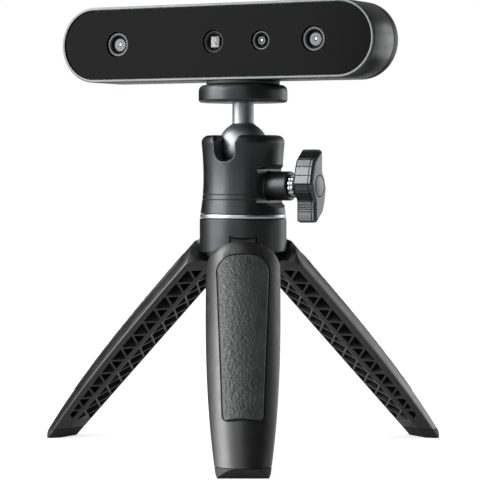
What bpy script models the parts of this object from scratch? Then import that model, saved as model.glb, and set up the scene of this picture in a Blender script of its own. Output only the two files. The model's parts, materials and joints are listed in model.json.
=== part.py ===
"""Handheld three-d scanner on a mini ball head, with a tabletop tripod whose three legs close into a handle.

Metres, +Z up. The scanner faces -Y, and the slot of the ball head opens to -Y too. The origin is the bottom centre
of the whole object's box.
"""

import math

import bmesh
import bpy
from mathutils import Matrix, Vector

# Clearances
SEAT_GAP = 0.0003  # between faces that touch on the real object
RUNNING_GAP = 0.0003  # round a pin, a ball or a shaft that turns
OVERRUN = 0.003  # how far a cutter passes the face that it opens
WELD = 0.000001

# How finely round shapes are cut
ROUND_SIDES = 24
SMALL_SIDES = 14
TINY_SIDES = 10
FILLET_STEPS = 3

# Hub and legs
OPEN_ANGLE = math.radians(45)
LEG_AZIMUTHS = {"front": math.radians(28), "right": math.radians(148), "left": math.radians(268)}
SECTOR_HALF_ANGLE = math.pi / len(LEG_AZIMUTHS)
PIN_CIRCLE = 0.012  # from the tripod's axis to each hinge pin
PIN_RADIUS = 0.0016
PIN_LENGTH = 0.0188
PIN_BORE_SPARE = 0.0003  # at each end of a pin
FOOT_REACH = 0.1475  # from a hinge pin along the leg to the floor
HUB_RADIUS = 0.0217
HUB_DROP = 0.0053  # below the hinge pins
HUB_RISE = 0.0111  # above the hinge pins
HUB_CHAMFER = 0.0003
STUD_RADIUS = 0.003
STUD_FLOOR = 0.0042  # the stud's lower end, above the pins
TONGUE_RADIUS = 0.0076
TONGUE_WIDTH = 0.0123
TONGUE_TAIL = 0.0015  # how far the tongue runs into the leg
TONGUE_INNER = 0.0058  # flat of the tongue on the side of the tripod's axis
TONGUE_SIDE_GAP = 0.0005
TONGUE_TOP_GAP = 0.0007
LEG_TOP = 0.009  # square shoulder of the leg, below the pin
SHOULDER_FILLET = 0.006
HANDLE_TOP_RADIUS = 0.0215
HANDLE_TAPER = 0.0072  # how much the handle's radius shrinks from top to foot
HANDLE_CURVE = 3
HANDLE_LENGTH = 0.1368  # along which it shrinks so
LEG_SPARE = 0.01  # how far a leg's blank passes the floor
LEG_STATIONS = 6
LEG_ARC_STEPS = 6
CORE_SIDES = 8  # of the inside of the shell, behind the ribs
CORE_STATIONS = 3
LEG_SIDE_GAP = 0.00025  # from each flat side to the plane between two legs
LEG_INNER_FLAT = 0.004  # of the leg, from the tripod's axis, when closed
SHELL = 0.0032
LATTICE_TOP = 0.0128
LATTICE_PITCH = 0.0096
LATTICE_HALF_WIDTH = 0.0075
LATTICE_COLUMNS = 2  # to each side of the middle one
LATTICE_ROW_SHARES = (1.0, 0.5)  # of the pitch, to the first pocket of even and of odd columns
RIB = 0.001
RAIL = 0.0012  # along each inner edge of a leg
END_WALL = 0.0052  # over the foot, where the last pockets open
FOOT_HEIGHT = 0.0047
FOOT_LEAN = 0.0024  # how far the foot's outer face leans in, over its height
FOOT_SIDE_LEAN = 0.0038  # the same of its two sides
PEG_RADIUS = 0.002
PEG_HEIGHT = 0.003
PEG_PLACE = 0.0088  # from the handle's axis

# Leather-grained grips
GRIP_TOP = 0.0116
GRIP_BOTTOM = 0.1166
GRIP_TOP_WIDTH = 0.0255
GRIP_BOTTOM_WIDTH = 0.018
GRIP_TOP_FILLET = 0.0066
GRIP_BOTTOM_FILLET = 0.0045
GRIP_PROUD = 0.0003
GRIP_THICKNESS = 0.0012
GRIP_GROOVE = 0.0005
GRIP_BOW = 0.0013  # how much lower the middle of the grip's bottom edge lies
GRIP_BOW_SHARES = (-0.6, 0, 0.6)  # of the way from its middle to its corners, where the bowed edge has points

# Bright ring and ball housing
RING_RADIUS = 0.02145
RING_HEIGHT = 0.002
RING_BORE = 0.0038
HOUSING_BASE_RADIUS = 0.02135
HOUSING_WAIST_RADIUS = 0.01985
HOUSING_TOP_RADIUS = 0.02075
HOUSING_WAIST = 0.0182
HOUSING_HEIGHT = 0.039
HOUSING_SHOULDER = 0.0042
HOUSING_STEPS = 3
GROOVE_HEIGHTS = (0.007, 0.0095)
GROOVE_DEPTH = 0.00025
GROOVE_HALF = 0.0002
BALL_RADIUS = 0.0125
BALL_SUNK = 0.0058  # of the ball's centre below the housing's top
BORE_SPARE = 0.0005  # of the housing's bore, round the ball
SLOT_SIDE_SPARE = 0.00035  # beside a stem that lies in the slot
SLOT_FLOOR_SPARE = 0.00195
SLOT_FILLET = 0.0052
SLOT_FLARE = 0.0022
SEAT_RIM_DROP = 0.0062  # below the ball's centre
SEAT_WALL = 0.0036
SCREW_SPARE = 0.0005  # between the clamp screw and the seat
PLUG_DROP = 0.0033  # below the clamp screw
STUD_SHARE = 0.64  # of the plug's height, that the stud reaches into it
CLAMP_FLAT_SHARE = 0.627  # half the flat's height, of the clamp's height over the housing's base
CLAMP_FLAT_PLACE = 0.0147  # from the head's axis
CLAMP_FLAT_DRAFT = math.radians(18)
CLAMP_BOSS_SHARE = 0.838  # the boss's radius, of half the flat's height
CLAMP_BOSS_REACH = 0.027

# Clamp knob
CLAMP_SCREW_RADIUS = 0.0025
CLAMP_TIP = 0.006
CLAMP_CONE = 0.008
CLAMP_TIP_RADIUS = 0.001
COLLAR_RADIUS = 0.006
COLLAR_LENGTH = 0.0034
KNOB_NECK_RADIUS = 0.005
KNOB_BACK = 0.032
KNOB_DEPTH = 0.0105
KNOB_WING = (
    (0.0018, 0.0181),
    (-0.0049, 0.0129),
    (-0.0067, 0.0089),
    (-0.0086, 0.0014),
    (-0.007, -0.0032),
    (-0.0043, -0.0075),
    (-0.0043, -0.0175),
)  # half of the knob's outline; the other half is the same, turned by half a turn
KNOB_CHAMFER = 0.001
KNOB_FLOOR = 0.004  # what is left in front of the screw
CAP_RADIUS = 0.00525
CAP_DEPTH = 0.0014

# Ball, platform and its screw
STEM_RADIUS = 0.00535
STEM_TOP = 0.0218  # above the ball's centre
SPIGOT_RADIUS = 0.004
SPIGOT_HEIGHT = 0.005
BALL_STEPS = 5
DISC_RADIUS = 0.0222
DISC_HEIGHT = 0.0087
DISC_TOP_FILLET = 0.003
DISC_FOOT_FILLET = 0.0015
FRICTION_RADIUS = 0.01835
FRICTION_HEIGHT = 0.0016
SCREW_RADIUS = 0.003
SCREW_HEAD_RADIUS = 0.0052
SCREW_HEAD_HEIGHT = 0.0014
SCREW_RISE = 0.0064  # above the friction pad

# Scanner head
SCANNER_WIDTH = 0.1758
SCANNER_HEIGHT = 0.0382
SCANNER_OFFSET = 0.0104  # how far its middle lies to -X of the platform's screw
SCANNER_FRONT = 0.013  # in front of the platform's screw
SCANNER_REAR = 0.0176
CAPSULE_SIDES = 10  # along each round end
BEZEL_WIDTH = 0.0014
BEZEL_DEPTH = 0.0015
PANEL_RECESS = 0.0005
PANEL_THICKNESS = 0.001
SLEEVE_WALL = 0.0022
COVER_DEPTH = 0.0063
COVER_WALL = 0.002
COVER_FILLET = 0.0024
CAMERA_SPREAD = 0.0554
COLOR_CAMERA_OFFSET = 0.0265
CAMERA_RADIUS = 0.00635
PROJECTOR_RADIUS = 0.0057
COLOR_CAMERA_RADIUS = 0.0051
BARREL_RECESS = 0.0011
BARREL_WALL_SHARE = 0.26
LENS_RECESS = 0.0009
LENS_THICKNESS = 0.0016
LENS_CROWN = 0.0006
INSERT_RADIUS = 0.005
INSERT_HEIGHT = 0.0072
INSERT_BOSS_WALL = 0.0017
POST_RADIUS = 0.003
POST_SPREAD = 0.062
POST_RISE = 0.0145
COVER_SCREW_RADIUS = 0.0012
COVER_SCREW_LENGTH = 0.0105
COVER_HEAD_RADIUS = 0.0025
COVER_HEAD_HEIGHT = 0.0009
COVER_HEAD_SUNK = 0.0003
BRACKET_WIDTH = 0.148
BRACKET_HEIGHT = 0.0218
BRACKET_FRONT = -0.0018
BRACKET_THICKNESS = 0.0022
BRACKET_FILLET = 0.003
STANDOFF_RADIUS = 0.0025
STANDOFF_SPREAD = 0.044
BOARD_FRONT = 0.006
BOARD_THICKNESS = 0.0016
BOARD_WIDTH = 0.14
SPREADER_WIDTH = 0.056
SPREADER_HEIGHT = 0.018
SPREADER_THICKNESS = 0.0014
SPREADER_PLACE = 0.04
BUTTON_RADIUS = 0.005
BUTTON_FLANGE = 0.0011
BUTTON_FLANGE_DEPTH = 0.0013
BUTTON_PROUD = 0.0004
BUTTON_TRAVEL = 0.0008
SWITCH_RADIUS = 0.003
LIGHT_RADIUS = 0.0014
LIGHT_RISE = 0.0092
LIGHT_SUNK = 0.0002
SOCKET_WIDTH = 0.0089
SOCKET_HEIGHT = 0.0032
SOCKET_MOUTH = 0.0007
SOCKET_DEPTH = 0.0062
SOCKET_PLACE = 0.04
SOCKET_SUNK = 0.0004

# Heights and places that follow from the sizes
PIN_HEIGHT = FOOT_REACH * math.cos(OPEN_ANGLE)
HUB_TOP = PIN_HEIGHT + HUB_RISE
RING_BOTTOM = HUB_TOP + SEAT_GAP
HEAD_BASE = RING_BOTTOM + RING_HEIGHT + SEAT_GAP
BALL_HEIGHT = HOUSING_HEIGHT - BALL_SUNK
SLOT_WIDTH = 2 * (STEM_RADIUS + SLOT_SIDE_SPARE)
SLOT_FLOOR = BALL_HEIGHT - STEM_RADIUS - SLOT_FLOOR_SPARE
SEAT_RIM = BALL_HEIGHT - SEAT_RIM_DROP
SEAT_FLOOR = BALL_HEIGHT - BALL_RADIUS - RUNNING_GAP - SEAT_WALL
CLAMP_HEIGHT = SEAT_FLOOR - SCREW_SPARE - CLAMP_SCREW_RADIUS
CLAMP_FLAT_HALF = CLAMP_HEIGHT * CLAMP_FLAT_SHARE
CLAMP_BOSS_RADIUS = CLAMP_FLAT_HALF * CLAMP_BOSS_SHARE
PLUG_HEIGHT = CLAMP_HEIGHT - CLAMP_SCREW_RADIUS - PLUG_DROP
HOUSING_BORE = BALL_RADIUS + BORE_SPARE
STUD_TOP = HEAD_BASE - PIN_HEIGHT + PLUG_HEIGHT * STUD_SHARE
DISC_BASE = STEM_TOP + SEAT_GAP
DISC_TOP = DISC_BASE + DISC_HEIGHT
FRICTION_TOP = DISC_TOP + SEAT_GAP + FRICTION_HEIGHT
SCANNER_BOTTOM = FRICTION_TOP + SEAT_GAP
HALF_HEIGHT = SCANNER_HEIGHT / 2
SLEEVE_FRONT = -SCANNER_FRONT + BEZEL_DEPTH + SEAT_GAP
SLEEVE_BACK = SCANNER_REAR - COVER_DEPTH - SEAT_GAP
COVER_INSIDE = SCANNER_REAR - COVER_WALL
BOARD_BACK = BOARD_FRONT + BOARD_THICKNESS
POST_CORNERS = [(x, z) for x in (-POST_SPREAD, POST_SPREAD) for z in (-POST_RISE, POST_RISE)]


def clear_scene():
    for obj in list(bpy.data.objects):
        bpy.data.objects.remove(obj)


def material(name, color, roughness, metallic=0.0):
    made = bpy.data.materials.new(name)
    made.use_nodes = True
    shader = made.node_tree.nodes["Principled BSDF"]
    shader.inputs["Base Color"].default_value = (*color, 1)
    shader.inputs["Roughness"].default_value = roughness
    shader.inputs["Metallic"].default_value = metallic
    made.diffuse_color = (*color, 1)
    return made


def pivot(name, parent=None, location=(0, 0, 0), rotation=(0, 0, 0)):
    """An empty on a joint's axis, which carries the pieces of one moving body."""
    empty = bpy.data.objects.new(name, None)
    empty.location = location
    empty.rotation_euler = rotation
    empty.parent = parent
    bpy.context.scene.collection.objects.link(empty)
    return empty


def piece(name, mesh, finish, parent):
    """One named solid, in the space of the empty that carries it."""
    obj = bpy.data.objects.new(name, mesh)
    mesh.materials.clear()
    mesh.materials.append(finish)
    mesh.shade_smooth()
    mesh.set_sharp_from_angle(angle=math.radians(35))
    obj.parent = parent
    bpy.context.scene.collection.objects.link(obj)
    return obj


def finished(shape):
    """A mesh from a bmesh, welded and with its faces turned out."""
    bmesh.ops.remove_doubles(shape, verts=shape.verts, dist=WELD)
    bmesh.ops.recalc_face_normals(shape, faces=shape.faces)
    mesh = bpy.data.meshes.new("shape")
    shape.to_mesh(mesh)
    shape.free()
    return mesh


def moved(mesh, offset=(0, 0, 0), turn=0.0, axis="Z"):
    mesh.transform(Matrix.Translation(offset) @ Matrix.Rotation(turn, 4, axis))
    return mesh


def joined(meshes):
    """Several meshes that don't touch, as one."""
    shape = bmesh.new()
    for mesh in meshes:
        shape.from_mesh(mesh)
        bpy.data.meshes.remove(mesh)
    mesh = bpy.data.meshes.new("shape")
    shape.to_mesh(mesh)
    shape.free()
    return mesh


def combined(body, tool, operation):
    """The Boolean of two closed meshes, which it uses up."""
    carrier = bpy.data.objects.new("carrier", body)
    other = bpy.data.objects.new("other", tool)
    for obj in (carrier, other):
        bpy.context.scene.collection.objects.link(obj)
    boolean = carrier.modifiers.new("boolean", "BOOLEAN")
    boolean.operation = operation
    boolean.object = other
    graph = bpy.context.evaluated_depsgraph_get()
    result = bpy.data.meshes.new_from_object(carrier.evaluated_get(graph))
    for obj in (carrier, other):
        bpy.data.objects.remove(obj)
    for mesh in (body, tool):
        bpy.data.meshes.remove(mesh)
    return result


def cut(body, *tools):
    for tool in tools:
        body = combined(body, tool, "DIFFERENCE")
    return body


def fused(body, *tools):
    for tool in tools:
        body = combined(body, tool, "UNION")
    return body


def kept(body, tool):
    return combined(body, tool, "INTERSECT")


def arc(center, radius, start, end, steps=FILLET_STEPS):
    """Points of an arc in a plane, both ends included."""
    angles = [start + (end - start) * step / steps for step in range(steps + 1)]
    return [(center[0] + radius * math.cos(angle), center[1] + radius * math.sin(angle)) for angle in angles]


def turned(section, sides=ROUND_SIDES):
    """A body turned about Z from the (radius, height) points of its section, in order."""
    shape = bmesh.new()
    corners = [shape.verts.new((radius, 0, height)) for radius, height in section]
    pairs = list(zip(corners, corners[1:] + corners[:1]))
    if section[0][0] == 0 and section[-1][0] == 0:
        pairs.pop()
    edges = [shape.edges.new(pair) for pair in pairs]
    bmesh.ops.spin(
        shape, geom=corners + edges, cent=(0, 0, 0), axis=(0, 0, 1), angle=math.tau, steps=sides, use_merge=True
    )
    return finished(shape)


def lofted(loops, ring=False):
    """A body through loops of equally many points: capped at both ends, or closed on itself as a ring."""
    shape = bmesh.new()
    rows = [[shape.verts.new(point) for point in loop] for loop in loops]
    following = rows[1:] + rows[:1] if ring else rows[1:]
    for row, after in zip(rows, following):
        for index in range(len(row)):
            beside = (index + 1) % len(row)
            shape.faces.new((row[index], row[beside], after[beside], after[index]))
    if not ring:
        shape.faces.new(rows[0])
        shape.faces.new(rows[-1])
    return finished(shape)


def extruded(outline, start, end, axis="Z"):
    """A prism over an outline, along one axis, between two places on it."""
    place = {
        "X": lambda point, along: (along, point[0], point[1]),
        "Y": lambda point, along: (point[0], along, point[1]),
        "Z": lambda point, along: (point[0], point[1], along),
    }[axis]
    return lofted([[place(point, along) for point in outline] for along in (start, end)])


def rod(radius, start, end, axis="Z", sides=SMALL_SIDES, center=(0, 0)):
    outline = arc(center, radius, 0, math.tau, sides)[:-1]
    return extruded(outline, start, end, axis)


def rounded_rectangle(width, height, fillet, center=(0, 0)):
    """Outline of a rectangle whose corners are arcs."""
    outline = []
    for quarter, (side_x, side_y) in enumerate(((1, 1), (-1, 1), (-1, -1), (1, -1))):
        middle_x = center[0] + side_x * (width / 2 - fillet)
        middle_y = center[1] + side_y * (height / 2 - fillet)
        start = quarter * math.pi / 2
        outline += arc((middle_x, middle_y), fillet, start, start + math.pi / 2)
    return outline


def capsule(inset):
    """Outline of the scanner's front in (x, z) about its middle, drawn in by an inset."""
    radius = HALF_HEIGHT - inset
    middle = SCANNER_WIDTH / 2 - HALF_HEIGHT
    right = arc((middle, 0), radius, -math.pi / 2, math.pi / 2, CAPSULE_SIDES)
    left = arc((-middle, 0), radius, math.pi / 2, 3 * math.pi / 2, CAPSULE_SIDES)
    return right + left


def capsule_at(inset, depth):
    return [(x, depth, z) for x, z in capsule(inset)]


def handle_radius(depth):
    """Outer radius of the closed handle at a depth below the hinge pins."""
    share = max(depth - LEG_TOP, 0) / HANDLE_LENGTH
    return HANDLE_TOP_RADIUS - HANDLE_TAPER * share**HANDLE_CURVE


def handle_depths(start=LEG_TOP, end=FOOT_REACH + LEG_SPARE, stations=LEG_STATIONS):
    return [start + (end - start) * step / stations for step in range(stations + 1)]


def handle_arc(depth, inset=0):
    """The points across one leg's outer face at a depth, inset from its surface."""
    radius = handle_radius(depth)
    half_angle = SECTOR_HALF_ANGLE - math.asin(LEG_SIDE_GAP / radius)
    return arc((-PIN_CIRCLE, 0), radius - inset, -half_angle, half_angle, LEG_ARC_STEPS)


def wedge_section(depth):
    """A leg's outline at a depth, as (outward from the pin, sideways) points: a third of the round handle."""
    flat = LEG_INNER_FLAT * math.tan(SECTOR_HALF_ANGLE) - LEG_SIDE_GAP / math.cos(SECTOR_HALF_ANGLE)
    inner = LEG_INNER_FLAT - PIN_CIRCLE
    return [(inner, -flat)] + handle_arc(depth) + [(inner, flat)]


def handle_core(inset, start, end):
    """The round core of the closed handle, inset from its surface."""
    loops = []
    for depth in handle_depths(start, end, CORE_STATIONS):
        outline = arc((-PIN_CIRCLE, 0), handle_radius(depth) - inset, 0, math.tau, CORE_SIDES)[:-1]
        loops.append([(x, y, -depth) for x, y in outline])
    return lofted(loops)


def handle_band(inner_inset, outer_inset):
    """A curved band along the outside of one leg, between two insets from its surface."""
    loops = []
    for depth in handle_depths():
        outer = handle_arc(depth, outer_inset)
        inner = handle_arc(depth, inner_inset)[::-1]
        loops.append([(x, y, -depth) for x, y in outer + inner])
    return lofted(loops)


def below_floor(height):
    """A block that fills all that lies lower than a height above the floor, in the space of a closed leg."""
    reach = 2 * FOOT_REACH
    top = extruded(rounded_rectangle(reach, reach, FOOT_HEIGHT), -reach, 0)
    drop = height - PIN_HEIGHT
    top.transform(Matrix.Rotation(OPEN_ANGLE, 4, "Y") @ Matrix.Translation((FOOT_REACH, 0, drop)))
    return top


def foot_face_cutter():
    """A block outside the foot's outer face, which leans in towards the floor."""
    rise = (handle_radius(FOOT_REACH) - PIN_CIRCLE) * math.sin(OPEN_ANGLE)
    depth = (PIN_HEIGHT - FOOT_HEIGHT + rise) / math.cos(OPEN_ANGLE)
    out = handle_radius(depth) - PIN_CIRCLE
    tip = out * math.cos(OPEN_ANGLE) + depth * math.sin(OPEN_ANGLE)
    level = out * math.sin(OPEN_ANGLE) - depth * math.cos(OPEN_ANGLE)
    lean = math.atan2(FOOT_LEAN, FOOT_HEIGHT)
    block = extruded(rounded_rectangle(FOOT_REACH, FOOT_REACH, FOOT_HEIGHT), 0, FOOT_REACH, "X")
    block.transform(Matrix.Translation((tip, 0, level)) @ Matrix.Rotation(lean, 4, "Y"))
    block.transform(Matrix.Rotation(OPEN_ANGLE, 4, "Y"))
    return block


def foot_side_cutters():
    """Blocks beside the foot, whose two sides lean in towards the floor."""
    top = FOOT_HEIGHT - PIN_HEIGHT
    half = handle_radius(FOOT_REACH) * math.sin(SECTOR_HALF_ANGLE)
    blocks = []
    for side in (-1, 1):
        outline = [
            (side * (half + FOOT_SIDE_LEAN), top + FOOT_HEIGHT),
            (side * 2 * half, top + FOOT_HEIGHT),
            (side * 2 * half, top - 2 * FOOT_HEIGHT),
            (side * (half - 2 * FOOT_SIDE_LEAN), top - 2 * FOOT_HEIGHT),
        ]
        block = extruded(outline, 0, 2 * FOOT_REACH, "X")
        block.transform(Matrix.Rotation(OPEN_ANGLE, 4, "Y"))
        blocks.append(block)
    return blocks


def shoulder_prism():
    """The leg's outline seen from outside: square at the top, with round shoulders."""
    half = handle_radius(LEG_TOP) * math.sin(SECTOR_HALF_ANGLE)
    bottom = -(FOOT_REACH + 2 * LEG_SPARE)
    corner = (half - SHOULDER_FILLET, -LEG_TOP - SHOULDER_FILLET)
    right = arc(corner, SHOULDER_FILLET, 0, math.pi / 2)
    left = arc((-corner[0], corner[1]), SHOULDER_FILLET, math.pi / 2, math.pi)
    outline = [(half, bottom)] + right + left + [(-half, bottom)]
    return extruded(outline, -HANDLE_TOP_RADIUS, HANDLE_TOP_RADIUS, "X")


def tongue():
    """The hinge tongue at a leg's top: a round end with two flats towards the tripod's axis."""
    round_end = rod(TONGUE_RADIUS, -TONGUE_WIDTH / 2, TONGUE_WIDTH / 2, "Y", 2 * SMALL_SIDES)
    tail = -LEG_TOP - TONGUE_TAIL
    block = [(-TONGUE_INNER, tail), (TONGUE_RADIUS, tail), (TONGUE_RADIUS, 0), (-TONGUE_INNER, 0)]
    body = fused(round_end, extruded(block, -TONGUE_WIDTH / 2, TONGUE_WIDTH / 2, "Y"))
    size = 2 * TONGUE_RADIUS
    for turn in (0, OPEN_ANGLE):
        flat = extruded([(-size, -size), (size, -size), (size, size), (-size, size)], -size, size, "Y")
        flat.transform(Matrix.Rotation(turn, 4, "Y") @ Matrix.Translation((-size - TONGUE_INNER, 0, 0)))
        body = cut(body, flat)
    under = extruded([(-size, tail - size), (size, tail - size), (size, tail), (-size, tail)], -size, size, "Y")
    return cut(body, under)


def rails():
    """What the pockets leave standing along the two inner edges of a leg."""
    inner = LEG_INNER_FLAT - PIN_CIRCLE
    start = LEG_INNER_FLAT * math.tan(SECTOR_HALF_ANGLE) - RAIL
    reach = HANDLE_TOP_RADIUS
    low = -2 * FOOT_REACH
    blocks = []
    for side in (-1, 1):
        outline = [(inner - reach, side * start), (inner + RAIL, side * start)]
        outline += [(inner + RAIL, side * 2 * reach), (inner - reach, side * 2 * reach)]
        blocks.append(extruded(outline, low, 0))
    return blocks


def lattice_cells():
    """The diamond pockets of a leg, which leave crossed ribs and the outer shell standing."""
    side = math.hypot(LATTICE_HALF_WIDTH, LATTICE_PITCH / 2)
    to_side = LATTICE_HALF_WIDTH * LATTICE_PITCH / 2 / side
    shrink = (to_side - RIB / 2) / to_side
    half_width = LATTICE_HALF_WIDTH * shrink
    half_height = LATTICE_PITCH / 2 * shrink
    last = (PIN_HEIGHT - FOOT_HEIGHT - END_WALL) / math.cos(OPEN_ANGLE) - PIN_CIRCLE + LEG_INNER_FLAT
    cells = []
    for column in range(-LATTICE_COLUMNS, LATTICE_COLUMNS + 1):
        middle = column * LATTICE_HALF_WIDTH
        first = LATTICE_TOP + LATTICE_PITCH * LATTICE_ROW_SHARES[column % 2]
        for row in range(int((last - first) / LATTICE_PITCH) + 1):
            depth = first + row * LATTICE_PITCH
            outline = [
                (middle + half_width, -depth),
                (middle, half_height - depth),
                (middle - half_width, -depth),
                (middle, -half_height - depth),
            ]
            cells.append(extruded(outline, -PIN_CIRCLE, HANDLE_TOP_RADIUS, "X"))
    core = handle_core(SHELL, LATTICE_TOP, FOOT_REACH + LEG_SPARE)
    core = cut(core, below_floor(FOOT_HEIGHT + END_WALL), *rails())
    return kept(joined(cells), core)


def grip_outline(margin):
    """The grip's outline seen from outside, as (sideways, height) points, grown by a margin."""
    top_fillet = GRIP_TOP_FILLET + margin
    bottom_fillet = GRIP_BOTTOM_FILLET + margin
    top = margin - GRIP_TOP - top_fillet
    bottom = bottom_fillet - GRIP_BOTTOM - margin
    top_out = GRIP_TOP_WIDTH / 2 + margin - top_fillet
    bottom_out = GRIP_BOTTOM_WIDTH / 2 + margin - bottom_fillet
    outline = arc((top_out, top), top_fillet, 0, math.pi / 2)
    outline += arc((-top_out, top), top_fillet, math.pi / 2, math.pi)
    outline += arc((-bottom_out, bottom), bottom_fillet, math.pi, 3 * math.pi / 2)
    for share in GRIP_BOW_SHARES:
        outline.append((share * bottom_out, bottom - bottom_fillet - GRIP_BOW * (1 - share**2)))
    outline += arc((bottom_out, bottom), bottom_fillet, 3 * math.pi / 2, math.tau)
    return outline


def grip_shape(margin, inner_inset, outer_inset):
    prism = extruded(grip_outline(margin), 0, HANDLE_TOP_RADIUS, "X")
    return kept(handle_band(inner_inset, outer_inset), prism)


def leg_blank():
    loops = [[(x, y, -depth) for x, y in wedge_section(depth)] for depth in handle_depths()]
    return kept(lofted(loops), shoulder_prism())


def peg(radius, height):
    depth = (PIN_HEIGHT - FOOT_HEIGHT) / math.cos(OPEN_ANGLE)
    place = PEG_PLACE - PIN_CIRCLE
    top = -depth - place * math.tan(OPEN_ANGLE) + height
    return rod(radius, top - height - FOOT_HEIGHT / 2, top, "Z", TINY_SIDES, (place, 0))


def leg_mesh():
    body = cut(leg_blank(), lattice_cells())
    body = cut(body, grip_shape(GRIP_GROOVE, GRIP_THICKNESS - GRIP_PROUD + SEAT_GAP, -OVERRUN))
    body = cut(body, peg(PEG_RADIUS + SEAT_GAP, PEG_HEIGHT + SEAT_GAP))
    body = cut(body, below_floor(FOOT_HEIGHT + SEAT_GAP))
    body = fused(body, tongue())
    return cut(body, rod(PIN_RADIUS + RUNNING_GAP, -TONGUE_WIDTH, TONGUE_WIDTH, "Y", TINY_SIDES))


def foot_mesh():
    body = kept(leg_blank(), below_floor(FOOT_HEIGHT))
    body = cut(body, foot_face_cutter(), *foot_side_cutters())
    body = fused(body, peg(PEG_RADIUS, PEG_HEIGHT))
    return cut(body, below_floor(0))


def build_legs(root, finishes):
    leg = leg_mesh()
    grip = grip_shape(0, GRIP_THICKNESS - GRIP_PROUD, -GRIP_PROUD)
    foot = foot_mesh()
    pin = rod(PIN_RADIUS, -PIN_LENGTH / 2, PIN_LENGTH / 2, "Y", TINY_SIDES)
    for name, azimuth in LEG_AZIMUTHS.items():
        out = Vector((math.sin(azimuth), -math.cos(azimuth), 0)) * PIN_CIRCLE
        turn = azimuth - math.pi / 2
        place = (out.x, out.y, PIN_HEIGHT)
        carrier = pivot(f"leg_{name}_fold", root, place, (0, -OPEN_ANGLE, turn))
        holder = pivot(f"pin_{name}", root, place, (0, 0, turn))
        piece(f"leg_{name}", leg.copy(), finishes["anodised"], carrier)
        piece(f"grip_pad_{name}", grip.copy(), finishes["leather"], carrier)
        piece(f"foot_{name}", foot.copy(), finishes["rubber"], carrier)
        piece(f"hinge_pin_{name}", pin.copy(), finishes["steel"], holder)


def notch_outline(reach):
    """The notch in the hub's wall, whose top runs along the outer face of an open leg's tongue."""
    clear = TONGUE_RADIUS + TONGUE_SIDE_GAP
    corner = clear * math.sin(OPEN_ANGLE)
    return [(0, -reach), (reach, -reach), (reach, 2 * corner - reach), (corner, corner), (0, 0)]


def hub_cutters(azimuth):
    """What one leg takes out of the hub: its pocket, its notch, its pin's bore and the facet that stops it."""
    half = TONGUE_WIDTH / 2 + TONGUE_SIDE_GAP
    radius = TONGUE_RADIUS + TONGUE_TOP_GAP
    corner_reach = TONGUE_INNER / math.cos(OPEN_ANGLE / 2) + RUNNING_GAP
    reach = 2 * HUB_RADIUS
    pocket = rod(radius, -half, half, "Y", 2 * SMALL_SIDES)
    opening = [(-reach, -reach), (reach, -reach), (reach, 0), (-reach, 0)]
    pocket = fused(pocket, extruded(opening, -half, half, "Y"), extruded(notch_outline(reach), -half, half, "Y"))
    inner = [(-2 * reach, -2 * reach), (-corner_reach, -2 * reach), (-corner_reach, reach), (-2 * reach, reach)]
    pocket = cut(pocket, extruded(inner, -reach, reach, "Y"))
    bore = PIN_LENGTH / 2 + PIN_BORE_SPARE
    pin = rod(PIN_RADIUS + SEAT_GAP, -bore, bore, "Y", TINY_SIDES)
    facet = extruded([(-reach, -reach), (reach, -reach), (reach, 0), (-reach, 0)], -reach, reach, "Y")
    facet.transform(Matrix.Rotation(-OPEN_ANGLE, 4, "Y") @ Matrix.Translation((0, 0, SEAT_GAP - LEG_TOP)))
    place = Matrix.Rotation(azimuth - math.pi / 2, 4, "Z") @ Matrix.Translation((PIN_CIRCLE, 0, 0))
    for mesh in (facet, pocket, pin):
        mesh.transform(place)
    return facet, pocket, pin


def build_hub(root, finishes):
    carrier = pivot("hub", root, (0, 0, PIN_HEIGHT))
    top = HUB_RISE
    section = [
        (0, -HUB_DROP),
        (HUB_RADIUS, -HUB_DROP),
        (HUB_RADIUS, top - HUB_CHAMFER),
        (HUB_RADIUS - HUB_CHAMFER, top),
        (0, top),
    ]
    body = turned(section)
    cutters = [hub_cutters(azimuth) for azimuth in LEG_AZIMUTHS.values()]
    for kind in zip(*cutters):
        body = cut(body, *kind)
    body = cut(body, rod(STUD_RADIUS + SEAT_GAP, STUD_FLOOR - SEAT_GAP, top + OVERRUN))
    piece("leg_hub", body, finishes["anodised"], carrier)
    ring_base = top + SEAT_GAP
    ring_top = ring_base + RING_HEIGHT
    chamfer = HUB_CHAMFER
    ring = [
        (RING_BORE, ring_base),
        (RING_RADIUS - chamfer, ring_base),
        (RING_RADIUS, ring_base + chamfer),
        (RING_RADIUS, ring_top - chamfer),
        (RING_RADIUS - chamfer, ring_top),
        (RING_BORE, ring_top),
    ]
    piece("trim_ring", turned(ring), finishes["bright"], carrier)
    piece("head_stud", rod(STUD_RADIUS, STUD_FLOOR, STUD_TOP), finishes["steel"], carrier)


def housing_radius(height):
    """Outer radius of the ball housing: drawn in to a waist between its base and its shoulder."""
    if height < HOUSING_WAIST:
        share = (HOUSING_WAIST - height) / HOUSING_WAIST
        return HOUSING_WAIST_RADIUS + (HOUSING_BASE_RADIUS - HOUSING_WAIST_RADIUS) * share**2
    share = (height - HOUSING_WAIST) / (HOUSING_HEIGHT - HOUSING_SHOULDER - HOUSING_WAIST)
    return HOUSING_WAIST_RADIUS + (HOUSING_TOP_RADIUS - HOUSING_WAIST_RADIUS) * share**2


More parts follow.
